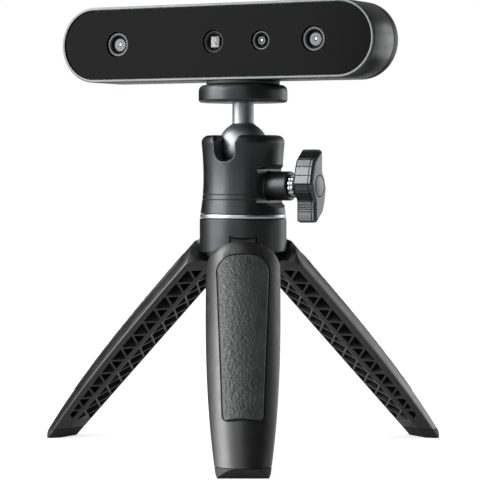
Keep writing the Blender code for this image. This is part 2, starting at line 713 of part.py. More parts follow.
def housing_section():
    """The ball housing's section: its bore, its waisted outside, its round shoulder and the ball's cavity."""
    shoulder = HOUSING_HEIGHT - HOUSING_SHOULDER
    heights = [HOUSING_WAIST * step / HOUSING_STEPS for step in range(1, HOUSING_STEPS + 1)]
    heights += [HOUSING_WAIST + (shoulder - HOUSING_WAIST) * step / HOUSING_STEPS for step in range(1, HOUSING_STEPS)]
    outside = [(housing_radius(0), 0)]
    for height in sorted(heights + list(GROOVE_HEIGHTS)):
        radius = housing_radius(height)
        if height in GROOVE_HEIGHTS:
            outside += [
                (radius, height - GROOVE_HALF),
                (radius - GROOVE_DEPTH, height),
                (radius, height + GROOVE_HALF),
            ]
        elif min(abs(height - groove) for groove in GROOVE_HEIGHTS) > 2 * GROOVE_HALF:
            outside.append((radius, height))
    rounding = (HOUSING_TOP_RADIUS - HOUSING_SHOULDER, shoulder)
    outside += arc(rounding, HOUSING_SHOULDER, 0, math.pi / 2)
    cavity = BALL_RADIUS + RUNNING_GAP
    mouth = math.asin((HOUSING_HEIGHT - BALL_HEIGHT) / cavity)
    inside = arc((0, BALL_HEIGHT), cavity, mouth, 0)
    return [(HOUSING_BORE, 0)] + outside + inside + [(HOUSING_BORE, BALL_HEIGHT)]


def slot_outline():
    """The slot's outline in (x, z): round at its lower corners, flared where it meets the top."""
    half = SLOT_WIDTH / 2
    top = HOUSING_HEIGHT
    floor = SLOT_FLOOR + SLOT_FILLET
    left = arc((-half - SLOT_FLARE, top - SLOT_FLARE), SLOT_FLARE, math.pi / 2, 0)
    left += arc((-half + SLOT_FILLET, floor), SLOT_FILLET, math.pi, 3 * math.pi / 2)
    right = [(-x, z) for x, z in reversed(left)]
    above = top + OVERRUN
    return [(-half - SLOT_FLARE, above)] + left + right + [(half + SLOT_FLARE, above)]


def clamp_flat():
    """What the flat round the clamp's boss takes out of the housing; its two ledges open outwards."""
    loops = []
    for along in (CLAMP_FLAT_PLACE, CLAMP_FLAT_PLACE + HOUSING_BASE_RADIUS):
        half = CLAMP_FLAT_HALF + (along - CLAMP_FLAT_PLACE) * math.tan(CLAMP_FLAT_DRAFT)
        corners = ((1, -1), (1, 1), (-1, 1), (-1, -1))
        loops.append([(along, side * HOUSING_BASE_RADIUS, CLAMP_HEIGHT + up * half) for side, up in corners])
    return lofted(loops)


def housing_mesh():
    body = turned(housing_section())
    bore = CLAMP_SCREW_RADIUS + RUNNING_GAP
    boss = rod(
        CLAMP_BOSS_RADIUS,
        (HOUSING_BORE + CLAMP_FLAT_PLACE) / 2,
        CLAMP_BOSS_REACH,
        "X",
        ROUND_SIDES,
        (0, CLAMP_HEIGHT),
    )
    body = fused(cut(body, clamp_flat()), boss)
    body = cut(body, rod(bore, 0, CLAMP_BOSS_REACH + OVERRUN, "X", SMALL_SIDES, (0, CLAMP_HEIGHT)))
    return cut(body, extruded(slot_outline(), -HOUSING_BASE_RADIUS - OVERRUN, -BALL_RADIUS / 2, "Y"))


def build_head(root, finishes):
    head = pivot("head_pan", root, (0, 0, HEAD_BASE))
    piece("ball_housing", housing_mesh(), finishes["anodised"], head)
    plug_radius = HOUSING_BORE - SEAT_GAP
    plug = rod(plug_radius, 0, PLUG_HEIGHT, "Z", ROUND_SIDES)
    socket = STUD_TOP + PIN_HEIGHT - HEAD_BASE + SEAT_GAP
    plug = cut(plug, rod(STUD_RADIUS + RUNNING_GAP, -OVERRUN, socket))
    piece("head_base", plug, finishes["steel"], head)
    return head


def build_seat(head, finishes):
    """The cup under the ball. Its origin is the empty on the axis along which it lifts."""
    carrier = pivot("seat_lift", head)
    cavity = BALL_RADIUS + RUNNING_GAP
    outer = HOUSING_BORE - RUNNING_GAP
    rim = math.asin((BALL_HEIGHT - SEAT_RIM) / cavity)
    cup = arc((0, BALL_HEIGHT), cavity, -rim, -math.pi / 2, BALL_STEPS)
    cup[-1] = (0, cup[-1][1])
    section = [(0, SEAT_FLOOR), (outer, SEAT_FLOOR), (outer, SEAT_RIM)] + cup
    piece("ball_seat", turned(section), finishes["nylon"], carrier)


def knob_outline(inset):
    """The knob's outline of two wings, as (sideways, height) points drawn in by an inset."""
    corners = [*KNOB_WING, *((-y, -z) for y, z in KNOB_WING)]
    points = []
    for before, corner, after in zip(corners[-1:] + corners[:-1], corners, corners[1:] + corners[:1]):
        arriving = math.atan2(corner[1] - before[1], corner[0] - before[0])
        leaving = math.atan2(after[1] - corner[1], after[0] - corner[0])
        bend = (leaving - arriving + math.pi) % math.tau - math.pi
        inward = arriving + bend / 2 + math.pi / 2
        reach = inset / math.cos(bend / 2)
        points.append((corner[0] + reach * math.cos(inward), CLAMP_HEIGHT + corner[1] + reach * math.sin(inward)))
    return points


def build_clamp(head, finishes):
    carrier = pivot("clamp_turn", head, (0, 0, CLAMP_HEIGHT))
    collar_start = CLAMP_BOSS_REACH + SEAT_GAP
    neck_start = collar_start + COLLAR_LENGTH + SEAT_GAP
    front = KNOB_BACK + KNOB_DEPTH
    bore = CLAMP_SCREW_RADIUS + SEAT_GAP
    chamfer = KNOB_CHAMFER
    places = [(KNOB_BACK, chamfer), (KNOB_BACK + chamfer, 0), (front - chamfer, 0), (front, chamfer)]
    loops = [[(along, y, z) for y, z in knob_outline(inset)] for along, inset in places]
    knob = lofted(loops)
    neck = rod(KNOB_NECK_RADIUS, neck_start, KNOB_BACK + KNOB_DEPTH / 2, "X", SMALL_SIDES, (0, CLAMP_HEIGHT))
    knob = fused(knob, neck)
    screw_end = front - CAP_DEPTH - KNOB_FLOOR
    socket = screw_end + SEAT_GAP
    recess = front - CAP_DEPTH
    knob = cut(
        knob,
        rod(bore, 0, socket, "X", SMALL_SIDES, (0, CLAMP_HEIGHT)),
        rod(CAP_RADIUS + SEAT_GAP, recess, front + OVERRUN, "X", SMALL_SIDES, (0, CLAMP_HEIGHT)),
    )
    cap = rod(CAP_RADIUS, recess + SEAT_GAP, front, "X", SMALL_SIDES, (0, CLAMP_HEIGHT))
    collar = rod(COLLAR_RADIUS, collar_start, collar_start + COLLAR_LENGTH, "X", SMALL_SIDES, (0, CLAMP_HEIGHT))
    collar = cut(collar, rod(bore, 0, front, "X", SMALL_SIDES, (0, CLAMP_HEIGHT)))
    thread = [
        (0, CLAMP_TIP),
        (CLAMP_TIP_RADIUS, CLAMP_TIP),
        (CLAMP_SCREW_RADIUS, CLAMP_TIP + CLAMP_CONE),
        (CLAMP_SCREW_RADIUS, screw_end),
        (0, screw_end),
    ]
    screw = turned(thread, SMALL_SIDES)
    screw.transform(Matrix.Translation((0, 0, CLAMP_HEIGHT)) @ Matrix.Rotation(math.pi / 2, 4, "Y"))
    for name, mesh, finish in (
        ("clamp_knob", knob, "knob"),
        ("knob_cap", cap, "knob"),
        ("clamp_collar", collar, "bright"),
        ("clamp_screw", screw, "steel"),
    ):
        mesh.transform(Matrix.Translation((0, 0, -CLAMP_HEIGHT)))
        piece(name, mesh, finishes[finish], carrier)


def build_ball(head, finishes):
    ball = pivot("ball_tilt", head, (0, 0, BALL_HEIGHT))
    neck = math.acos(STEM_RADIUS / BALL_RADIUS)
    sphere = arc((0, 0), BALL_RADIUS, -math.pi / 2, neck, BALL_STEPS)
    sphere[0] = (0, -BALL_RADIUS)
    spigot = STEM_TOP + SPIGOT_HEIGHT
    section = sphere + [(STEM_RADIUS, STEM_TOP), (SPIGOT_RADIUS, STEM_TOP), (SPIGOT_RADIUS, spigot), (0, spigot)]
    piece("ball_stem", turned(section), finishes["chrome"], ball)
    socket = spigot + SEAT_GAP
    lower = (DISC_RADIUS - DISC_FOOT_FILLET, DISC_BASE + DISC_FOOT_FILLET)
    upper = (DISC_RADIUS - DISC_TOP_FILLET, DISC_TOP - DISC_TOP_FILLET)
    head_radius = SCREW_HEAD_RADIUS + SEAT_GAP
    disc = [(SPIGOT_RADIUS + SEAT_GAP, DISC_BASE)]
    disc += arc(lower, DISC_FOOT_FILLET, -math.pi / 2, 0)
    disc += arc(upper, DISC_TOP_FILLET, 0, math.pi / 2)
    disc += [(head_radius, DISC_TOP), (head_radius, socket), (SPIGOT_RADIUS + SEAT_GAP, socket)]
    piece("platform_disc", turned(disc), finishes["anodised"], ball)
    bore = SCREW_RADIUS + RUNNING_GAP
    base = DISC_TOP + SEAT_GAP
    chamfer = FRICTION_HEIGHT / 4
    pad = [
        (bore, base),
        (FRICTION_RADIUS, base),
        (FRICTION_RADIUS, FRICTION_TOP - chamfer),
        (FRICTION_RADIUS - chamfer, FRICTION_TOP),
        (bore, FRICTION_TOP),
    ]
    piece("friction_pad", turned(pad), finishes["rubber"], ball)
    head_base = socket + SEAT_GAP
    head_top = head_base + SCREW_HEAD_HEIGHT
    tip = FRICTION_TOP + SCREW_RISE
    screw = [(0, head_base), (SCREW_HEAD_RADIUS, head_base), (SCREW_HEAD_RADIUS, head_top)]
    screw += [(SCREW_RADIUS, head_top), (SCREW_RADIUS, tip), (0, tip)]
    piece("camera_screw", turned(screw, SMALL_SIDES), finishes["steel"], ball)
    return ball


def sleeve_mesh():
    """The scanner's sleeve, open in front and behind, with the screw posts and the boss of the tripod insert."""
    loops = [
        capsule_at(0, SLEEVE_FRONT),
        capsule_at(0, SLEEVE_BACK),
        capsule_at(SLEEVE_WALL, SLEEVE_BACK),
        capsule_at(SLEEVE_WALL, SLEEVE_FRONT),
    ]
    body = lofted(loops, ring=True)
    floor = -HALF_HEIGHT
    boss_radius = INSERT_RADIUS + SEAT_GAP + INSERT_BOSS_WALL
    boss_top = floor + INSERT_HEIGHT + SEAT_GAP
    boss = rod(boss_radius, floor + SLEEVE_WALL / 2, boss_top, "Z", SMALL_SIDES, (SCANNER_OFFSET, 0))
    body = fused(body, boss)
    post_front = SLEEVE_FRONT + SLEEVE_WALL
    for place in POST_CORNERS:
        body = fused(body, rod(POST_RADIUS, post_front, COVER_INSIDE - SEAT_GAP, "Y", TINY_SIDES, place))
    outer = [
        capsule_at(-SLEEVE_WALL, SLEEVE_FRONT - OVERRUN),
        capsule_at(-SLEEVE_WALL, SCANNER_REAR),
        capsule_at(0, SCANNER_REAR),
        capsule_at(0, SLEEVE_FRONT - OVERRUN),
    ]
    body = cut(body, lofted(outer, ring=True))
    inside_cover = [
        capsule_at(-SLEEVE_WALL, SLEEVE_BACK + SEAT_GAP / 2),
        capsule_at(-SLEEVE_WALL, SCANNER_REAR),
        capsule_at(COVER_WALL + SEAT_GAP, SCANNER_REAR),
        capsule_at(COVER_WALL + SEAT_GAP, SLEEVE_BACK + SEAT_GAP / 2),
    ]
    body = cut(body, lofted(inside_cover, ring=True))
    bore = INSERT_RADIUS + SEAT_GAP
    body = cut(body, rod(bore, floor - OVERRUN, boss_top + OVERRUN, "Z", SMALL_SIDES, (SCANNER_OFFSET, 0)))
    bore = COVER_SCREW_RADIUS + SEAT_GAP
    for place in POST_CORNERS:
        body = cut(body, rod(bore, SLEEVE_BACK - COVER_SCREW_LENGTH, SCANNER_REAR, "Y", TINY_SIDES, place))
    return body


def cover_mesh():
    """The rear cover: a dished shell with a round rear edge and openings for what reaches through it."""
    front = SLEEVE_BACK + SEAT_GAP
    loops = [
        capsule_at(COVER_WALL, COVER_INSIDE),
        capsule_at(COVER_WALL, front),
        capsule_at(0, front),
    ]
    rounding = arc((COVER_FILLET, SCANNER_REAR - COVER_FILLET), COVER_FILLET, math.pi, math.pi / 2)
    loops += [capsule_at(inset, depth) for inset, depth in rounding]
    body = lofted(loops)
    back = SCANNER_REAR + OVERRUN
    body = cut(body, rod(BUTTON_RADIUS + RUNNING_GAP, front, back, "Y", SMALL_SIDES))
    body = cut(body, rod(LIGHT_RADIUS + SEAT_GAP, front, back, "Y", TINY_SIDES, (0, LIGHT_RISE)))
    body = cut(body, extruded(socket_outline(SEAT_GAP), front, back, "Y"))
    seat = SCANNER_REAR - COVER_HEAD_SUNK - COVER_HEAD_HEIGHT - SEAT_GAP
    for place in POST_CORNERS:
        body = cut(body, rod(COVER_SCREW_RADIUS + SEAT_GAP, front, back, "Y", TINY_SIDES, place))
        body = cut(body, rod(COVER_HEAD_RADIUS + SEAT_GAP, seat, back, "Y", TINY_SIDES, place))
    return body


def socket_outline(margin):
    height = SOCKET_HEIGHT + 2 * margin
    return rounded_rectangle(SOCKET_WIDTH + 2 * margin, height, height / 2 - margin / 2, (SOCKET_PLACE, 0))


def panel_mesh(apertures):
    """The black glass, with a round opening for each camera and the projector."""
    outline = capsule(BEZEL_WIDTH + SEAT_GAP)
    front = PANEL_RECESS - SCANNER_FRONT
    body = extruded(outline, front, front + PANEL_THICKNESS - SEAT_GAP, "Y")
    for place, radius in apertures.values():
        body = cut(body, rod(radius, front - OVERRUN, front + OVERRUN, "Y", ROUND_SIDES, (place, 0)))
    return body


def bezel_mesh():
    chamfer = BEZEL_WIDTH / 4
    back = BEZEL_DEPTH - SCANNER_FRONT
    loops = [
        capsule_at(0, back),
        capsule_at(BEZEL_WIDTH, back),
        capsule_at(BEZEL_WIDTH, -SCANNER_FRONT),
        capsule_at(chamfer, -SCANNER_FRONT),
        capsule_at(0, chamfer - SCANNER_FRONT),
    ]
    return lofted(loops, ring=True)


def barrel_section(radius):
    """A lens barrel's section: a tube with a step inside on which its lens sits."""
    outer = radius - SEAT_GAP
    wall = radius * BARREL_WALL_SHARE
    front = SCANNER_FRONT - PANEL_RECESS - BARREL_RECESS
    back = -BRACKET_FRONT + SEAT_GAP
    step = front - LENS_RECESS - LENS_THICKNESS - SEAT_GAP
    return [
        (outer - wall, step),
        (outer - 2 * wall, step),
        (outer - 2 * wall, back),
        (outer, back),
        (outer, front),
        (outer - wall, front),
    ]


def lens_section(radius):
    outer = radius - SEAT_GAP - radius * BARREL_WALL_SHARE - SEAT_GAP
    front = SCANNER_FRONT - PANEL_RECESS - BARREL_RECESS - LENS_RECESS
    back = front - LENS_THICKNESS
    edge = front - LENS_CROWN
    dome = [(outer * math.cos(angle), edge + LENS_CROWN * math.sin(angle)) for angle in dome_angles()]
    return [(0, back), (outer, back)] + dome[:-1] + [(0, front)]


def dome_angles():
    return [math.pi / 2 * step / FILLET_STEPS for step in range(FILLET_STEPS + 1)]


def facing_front(mesh, place):
    """Turns a body made along +Z to face -Y, at a place along the scanner."""
    mesh.transform(Matrix.Translation((place, 0, 0)) @ Matrix.Rotation(math.pi / 2, 4, "X"))
    return mesh


def build_optics(scanner, apertures, finishes):
    for name, (place, radius) in apertures.items():
        barrel = facing_front(turned(barrel_section(radius), SMALL_SIDES), place)
        lens = facing_front(turned(lens_section(radius), SMALL_SIDES), place)
        piece(f"{name}_barrel", barrel, finishes["nylon"], scanner)
        piece(f"{name}_lens", lens, finishes["glass"], scanner)
    plate = extruded(
        rounded_rectangle(BRACKET_WIDTH, BRACKET_HEIGHT, BRACKET_FILLET),
        BRACKET_FRONT,
        BRACKET_FRONT + BRACKET_THICKNESS,
        "Y",
    )
    base = BRACKET_FRONT + BRACKET_THICKNESS / 2
    for x in (-STANDOFF_SPREAD, STANDOFF_SPREAD):
        plate = fused(plate, rod(STANDOFF_RADIUS, base, BOARD_FRONT - SEAT_GAP, "Y", TINY_SIDES, (x, 0)))
    piece("optical_bracket", plate, finishes["steel"], scanner)


def build_electronics(scanner, finishes):
    outline = rounded_rectangle(BOARD_WIDTH, BRACKET_HEIGHT, BRACKET_FILLET)
    piece("main_board", extruded(outline, BOARD_FRONT, BOARD_BACK, "Y"), finishes["board"], scanner)
    behind = BOARD_BACK + SEAT_GAP
    spreader = rounded_rectangle(SPREADER_WIDTH, SPREADER_HEIGHT, BRACKET_FILLET, (-SPREADER_PLACE, 0))
    spreader = extruded(spreader, behind, behind + SPREADER_THICKNESS, "Y")
    piece("heat_spreader", spreader, finishes["steel"], scanner)
    pressed = COVER_INSIDE - SEAT_GAP - BUTTON_FLANGE_DEPTH - BUTTON_TRAVEL
    switch = rod(SWITCH_RADIUS, behind, pressed - SEAT_GAP, "Y", SMALL_SIDES)
    piece("button_switch", switch, finishes["nylon"], scanner)
    light = rod(LIGHT_RADIUS, behind, SCANNER_REAR - LIGHT_SUNK, "Y", TINY_SIDES, (0, LIGHT_RISE))
    piece("status_light", light, finishes["light"], scanner)
    mouth = SCANNER_REAR - SOCKET_SUNK
    hollow = rounded_rectangle(
        SOCKET_WIDTH - SOCKET_MOUTH,
        SOCKET_HEIGHT - SOCKET_MOUTH,
        (SOCKET_HEIGHT - SOCKET_MOUTH) / 2 - SOCKET_MOUTH / 2,
        (SOCKET_PLACE, 0),
    )
    socket = extruded(socket_outline(0), behind, mouth, "Y")
    socket = cut(socket, extruded(hollow, mouth - SOCKET_DEPTH, mouth + OVERRUN, "Y"))
    piece("usb_socket", socket, finishes["steel"], scanner)


def build_button(scanner, finishes):
    carrier = pivot("scan_press", scanner)
    inner = COVER_INSIDE - SEAT_GAP
    front = inner - BUTTON_FLANGE_DEPTH
    rear = SCANNER_REAR + BUTTON_PROUD
    section = [
        (0, -rear),
        (BUTTON_RADIUS - BUTTON_PROUD, -rear),
        (BUTTON_RADIUS, BUTTON_PROUD - rear),
        (BUTTON_RADIUS, -inner),
        (BUTTON_RADIUS + BUTTON_FLANGE, -inner),
        (BUTTON_RADIUS + BUTTON_FLANGE, -front),
        (0, -front),
    ]
    piece("scan_button", facing_front(turned(section, SMALL_SIDES), 0), finishes["nylon"], carrier)


def build_cover_screws(scanner, finishes):
    """A screw in each post, whose head sits in the rear cover."""
    head_back = SCANNER_REAR - COVER_HEAD_SUNK
    head_front = head_back - COVER_HEAD_HEIGHT
    end = SLEEVE_BACK - COVER_SCREW_LENGTH + SEAT_GAP
    section = [
        (0, -head_back),
        (COVER_HEAD_RADIUS, -head_back),
        (COVER_HEAD_RADIUS, -head_front),
        (COVER_SCREW_RADIUS, -head_front),
        (COVER_SCREW_RADIUS, -end),
        (0, -end),
    ]
    for number, (x, z) in enumerate(POST_CORNERS, start=1):
        screw = facing_front(turned(section, TINY_SIDES), x)
        piece(f"cover_screw_{number}", moved(screw, (0, 0, z)), finishes["steel"], scanner)


def build_scanner(ball, finishes):
    turn = pivot("scanner_turn", ball, (0, 0, SCANNER_BOTTOM))
    scanner = pivot("scanner_middle", turn, (-SCANNER_OFFSET, 0, HALF_HEIGHT))
    apertures = {
        "left_camera": (-CAMERA_SPREAD, CAMERA_RADIUS),
        "projector": (0, PROJECTOR_RADIUS),
        "color_camera": (COLOR_CAMERA_OFFSET, COLOR_CAMERA_RADIUS),
        "right_camera": (CAMERA_SPREAD, CAMERA_RADIUS),
    }
    piece("scanner_housing", sleeve_mesh(), finishes["shell"], scanner)
    piece("rear_cover", cover_mesh(), finishes["shell"], scanner)
    piece("front_bezel", bezel_mesh(), finishes["bright"], scanner)
    piece("front_panel", panel_mesh(apertures), finishes["glass"], scanner)
    build_optics(scanner, apertures, finishes)
    build_electronics(scanner, finishes)
    build_button(scanner, finishes)
    build_cover_screws(scanner, finishes)
    floor = -HALF_HEIGHT
    center = (SCANNER_OFFSET, 0)
    insert = rod(INSERT_RADIUS, floor, floor + INSERT_HEIGHT, "Z", SMALL_SIDES, center)
    bore = rod(SCREW_RADIUS + RUNNING_GAP, floor - OVERRUN, floor + SCANNER_HEIGHT, "Z", SMALL_SIDES, center)
    piece("screw_insert", cut(insert, bore), finishes["brass"], scanner)


def stand_on_origin(root):
    """Moves the whole object so that the bottom centre of its box is the origin."""
    bpy.context.view_layer.update()
    solids = [obj for obj in bpy.data.objects if obj.type == "MESH"]
    points = [obj.matrix_world @ vertex.co for obj in solids for vertex in obj.data.vertices]
    low = [min(point[axis] for point in points) for axis in range(3)]
    high = [max(point[axis] for point in points) for axis in range(3)]
    root.location = (-(low[0] + high[0]) / 2, -(low[1] + high[1]) / 2, -low[2])


def finish_set():
    return {
        "anodised": material("anodised_metal", (0.075, 0.078, 0.082), 0.36, 1.0),
        "bright": material("bright_metal", (0.72, 0.73, 0.74), 0.2, 1.0),
        "chrome": material("polished_ball", (0.42, 0.43, 0.44), 0.16, 1.0),
        "steel": material("plain_steel", (0.5, 0.5, 0.5), 0.35, 1.0),
        "brass": material("brass", (0.72, 0.53, 0.24), 0.3, 1.0),
        "rubber": material("black_rubber", (0.02, 0.02, 0.02), 0.75),
        "leather": material("grained_rubber", (0.09, 0.095, 0.095), 0.62),
        "knob": material("knob_plastic", (0.028, 0.028, 0.03), 0.42),
        "nylon": material("black_nylon", (0.03, 0.03, 0.032), 0.5),
        "shell": material("scanner_shell", (0.1, 0.1, 0.105), 0.4),
        "glass": material("black_glass", (0.012, 0.012, 0.014), 0.08),
        "board": material("circuit_board", (0.02, 0.09, 0.04), 0.5),
        "light": material("light_pipe", (0.75, 0.8, 0.8), 0.3),
    }


def main():
    clear_scene()
    finishes = finish_set()
    root = pivot("tripod")
    build_hub(root, finishes)
    build_legs(root, finishes)
    head = build_head(root, finishes)
    build_seat(head, finishes)
    build_clamp(head, finishes)
    ball = build_ball(head, finishes)
    build_scanner(ball, finishes)
    stand_on_origin(root)


main()
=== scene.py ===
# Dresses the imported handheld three-d scanner: a capsule-shaped scanner head on a ball head and a folding tripod.
# Metres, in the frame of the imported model. The sizes repeat the part's own, so that each piece sits on its node.

import itertools
import json
import math

import bmesh
import bpy
import numpy as np
from mathutils import Matrix, Vector


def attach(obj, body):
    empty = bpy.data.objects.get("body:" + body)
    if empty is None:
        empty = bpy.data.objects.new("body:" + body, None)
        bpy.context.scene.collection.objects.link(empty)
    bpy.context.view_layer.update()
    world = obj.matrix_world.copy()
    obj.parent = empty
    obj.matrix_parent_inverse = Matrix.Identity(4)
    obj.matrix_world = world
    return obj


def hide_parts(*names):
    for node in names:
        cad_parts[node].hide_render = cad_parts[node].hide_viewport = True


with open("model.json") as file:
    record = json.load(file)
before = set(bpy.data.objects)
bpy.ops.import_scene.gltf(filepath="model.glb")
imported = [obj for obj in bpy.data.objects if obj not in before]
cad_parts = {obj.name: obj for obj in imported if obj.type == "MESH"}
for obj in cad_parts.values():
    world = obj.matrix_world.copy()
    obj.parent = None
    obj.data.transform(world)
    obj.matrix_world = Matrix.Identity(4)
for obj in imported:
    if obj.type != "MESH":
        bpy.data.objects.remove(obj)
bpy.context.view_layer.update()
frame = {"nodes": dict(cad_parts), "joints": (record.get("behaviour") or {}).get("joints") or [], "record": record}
JOINTS = {joint["name"]: joint for joint in frame["joints"]}


def joint_place(name):
    return Vector(JOINTS[name]["pos_m"])


def rotation(angle, axis):
    return Matrix.Rotation(angle, 4, axis)


def shift(x=0, y=0, z=0):
    return Matrix.Translation((x, y, z))


# Clearances and fineness
GAP = 0.0003
OVERRUN = 0.003
WELD = 0.000001
EDGE = 0.0003  # rounding of small turned and moulded edges
FINE_EDGE = 0.0001
ROUND_SIDES = 160
SMALL_SIDES = 64
RIM_SIDES = 96
BORE_SIDES = 48
PEG_SIDES = 20
ROD_SIDES = 32
FILLET_STEPS = 6

# Hub and legs
OPEN_ANGLE = math.radians(45)
LEG_AZIMUTHS = {"front": math.radians(28), "right": math.radians(148), "left": math.radians(268)}
SECTOR_HALF_ANGLE = math.pi / len(LEG_AZIMUTHS)
PIN_CIRCLE = 0.012
PIN_RADIUS = 0.0016
FOOT_REACH = 0.1475
PIN_HEIGHT = FOOT_REACH * math.cos(OPEN_ANGLE)
HUB_RADIUS = 0.0217
HUB_DROP = 0.0053
HUB_RISE = 0.0111
HUB_EDGE = 0.00035
HUB_PITCH = 0.0003
STUD_RADIUS = 0.003
STUD_FLOOR = 0.0042
TONGUE_RADIUS = 0.0076
TONGUE_WIDTH = 0.0123
TONGUE_TAIL = 0.0015
TONGUE_INNER = 0.0058
TONGUE_SIDE_GAP = 0.0005
TONGUE_TOP_GAP = 0.0007
LEG_TOP = 0.009
LEG_ABOVE = 0.002
SHOULDER_FILLET = 0.009
HANDLE_TOP_RADIUS = 0.0215
HANDLE_TAPER = 0.0072
HANDLE_CURVE = 3
HANDLE_LENGTH = 0.1368
LEG_SPARE = 0.01
LEG_STATIONS = 26
LEG_ARC_STEPS = 44
CORE_SIDES = 72
CORE_STATIONS = 10
LEG_SIDE_GAP = 0.00025
LEG_INNER_FLAT = 0.0046
LEG_RIM = 0.0007
LEG_EDGE = 0.00025
SHELL = 0.0032
LATTICE_TOP = 0.0128
LATTICE_PITCH = 0.0096
LATTICE_HALF_WIDTH = 0.0075
LATTICE_COLUMNS = 2
LATTICE_ROW_SHARES = (1.0, 0.5)
CELL_SIDE_FILLET = 0.0004
CELL_END_FILLET = 0.0007
RIB = 0.001
RAIL = 0.0012
END_WALL = 0.0052
FOOT_HEIGHT = 0.0047
FOOT_LEAN = 0.0036
FOOT_SIDE_LEAN = 0.0021
FOOT_SIDE_OUT = 0.0017
FOOT_EDGE = 0.0011
PEG_RADIUS = 0.002
PEG_HEIGHT = 0.003
PEG_PLACE = 0.0088
ON_FACE = 0.00002  # how near a face an edge on it lies
NEAR_SURFACE = 0.00005

# Leather-grained grips
GRIP_TOP = 0.0172
GRIP_BOTTOM = 0.1166
GRIP_TOP_WIDTH = 0.026
GRIP_BOTTOM_WIDTH = 0.0186
GRIP_TOP_FILLET = 0.0075
GRIP_BOTTOM_FILLET = 0.0045
GRIP_PROUD = 0.0003
GRIP_THICKNESS = 0.0012
GRIP_GROOVE = 0.0005
GRIP_BOW = 0.0013
GRIP_ROWS = 236
GRIP_COLUMNS = 58
GRIP_ROLL = 0.0006
GRIP_END_EASE = 0.012  # rows lie closer together at the two ends
GRAIN_CELL = 0.0013
GRAIN_HEIGHT = 0.00042
GRAIN_CELLS = (40, 110)
GRAIN_STRETCH = 1.15
GRAIN_CREASE = 0.35
GRAIN_LOW_SHARE = 0.45

# Bright ring and ball housing
RING_RADIUS = 0.02145
RING_HEIGHT = 0.002
RING_BORE = 0.0038
HOUSING_BASE_RADIUS = 0.02135
HOUSING_WAIST_RADIUS = 0.01985
HOUSING_TOP_RADIUS = 0.02075
HOUSING_WAIST = 0.0182
HOUSING_HEIGHT = 0.039
HOUSING_SHOULDER = 0.0042
HOUSING_FLARE_END = 1.2  # the share of the flare's height at which it stops widening
GROOVE_HEIGHTS = (0.007, 0.0095)
GROOVE_RADIUS = 0.00024
GROOVE_SOFT = 0.00008
HOUSING_EDGE = 0.0002
BALL_RADIUS = 0.0125
BALL_HEIGHT = 0.0332
SEAT_RIM_DROP = 0.0062
SEAT_WALL = 0.0036
SLOT_HALF = 0.0057
SLOT_FLOOR = 0.0259
SLOT_FILLET = 0.0052
SLOT_FLARE = 0.0022
SLOT_RIM = 0.0005
HOUSING_BORE = 0.013
CLAMP_HEIGHT = 0.0138
CLAMP_FLAT_HALF = 0.00865
CLAMP_FLAT_PLACE = 0.0147
CLAMP_FLAT_DRAFT = math.radians(18)
CLAMP_BOSS_RADIUS = 0.00725
CLAMP_BOSS_REACH = 0.027
CLAMP_BOSS_EDGE = 0.0005
CLAMP_BOSS_FILLET = 0.0004
CLAMP_FLAT_EDGE = 0.00025
CLAMP_SCREW_RADIUS = 0.0025
GRID_PITCH = 0.00034
FINE_SPAN = 1.5
FINE_LINES = 11
FIELD_STEPS = 8
FLATTEST_SLOPE = 0.2

# Clamp collar and knob
COLLAR_RADIUS = 0.006
COLLAR_LENGTH = 0.0034
COLLAR_FLUTES = 12
COLLAR_FLUTE = 0.0005
COLLAR_CHAMFER = 0.0007
COLLAR_POINTS = 288
COLLAR_STEP = 0.0001
COLLAR_FLUTE_POWER = 0.7
KNOB_NECK_RADIUS = 0.005
KNOB_BACK = 0.032
KNOB_DEPTH = 0.0105
KNOB_WING = (  # a wing's corners as (y, z, fillet)
    (0.0018, 0.0181, 0.0007),
    (-0.0049, 0.0129, 0.0006),
    (-0.0067, 0.0089, 0.0004),
    (-0.0086, 0.0014, 0.0009),
    (-0.007, -0.0032, 0.0006),
    (-0.0043, -0.0075, 0.003),
    (-0.0043, -0.0175, 0.0007),
)
# The grooves across the wall after a corner, as shares of its length
KNOB_GROOVES = {0: (0.1, 0.9), 1: (0.8,), 2: (0.5,), 3: (0.12, 0.84), 5: (0.06, 0.16, 0.26, 0.36, 0.5)}
KNOB_CHAMFER = 0.001
KNOB_BACK_ROLL = ((0, 1), (0.3, 0.3), (1, 0))  # (along, inset) in chamfers, as in the front roll
KNOB_FRONT_ROLL = ((-1.25, 0.1), (-0.35, 0.75), (0, 1.6))
KNOB_GROOVE = 0.0004
KNOB_GROOVE_HALF_SHARE = 0.6
KNOB_BAND = 0.00045  # the groove that runs round the knob behind its front edge
KNOB_BAND_BEHIND = 2.6  # in chamfers
KNOB_BAND_STEPS = ((0, 0), (0.3, 1), (1, 1))
KNOB_BAND_END = (1.3, 0.1)  # along in bands, inset in chamfers
KNOB_FLOOR = 0.004
CAP_RADIUS = 0.00525
CAP_DEPTH = 0.0014

# Ball, platform and its pad
STEM_RADIUS = 0.00535
STEM_TOP = 0.0218
SPIGOT_RADIUS = 0.004
SPIGOT_HEIGHT = 0.005
DISC_RADIUS = 0.0222
DISC_HEIGHT = 0.0087
DISC_TOP_FILLET = 0.003
DISC_FOOT_FILLET = 0.0015
FRICTION_RADIUS = 0.01835
FRICTION_HEIGHT = 0.0016
SCREW_RADIUS = 0.003
SCREW_HEAD_RADIUS = 0.0052
STEM_ROOT = 0.0012
STEM_ROOT_RISE = 0.0009
PAD_SEAT = 0.00002
PAD_MARGIN = 0.002
PAD_PITCH = 0.0022
PAD_EDGE = 0.0004

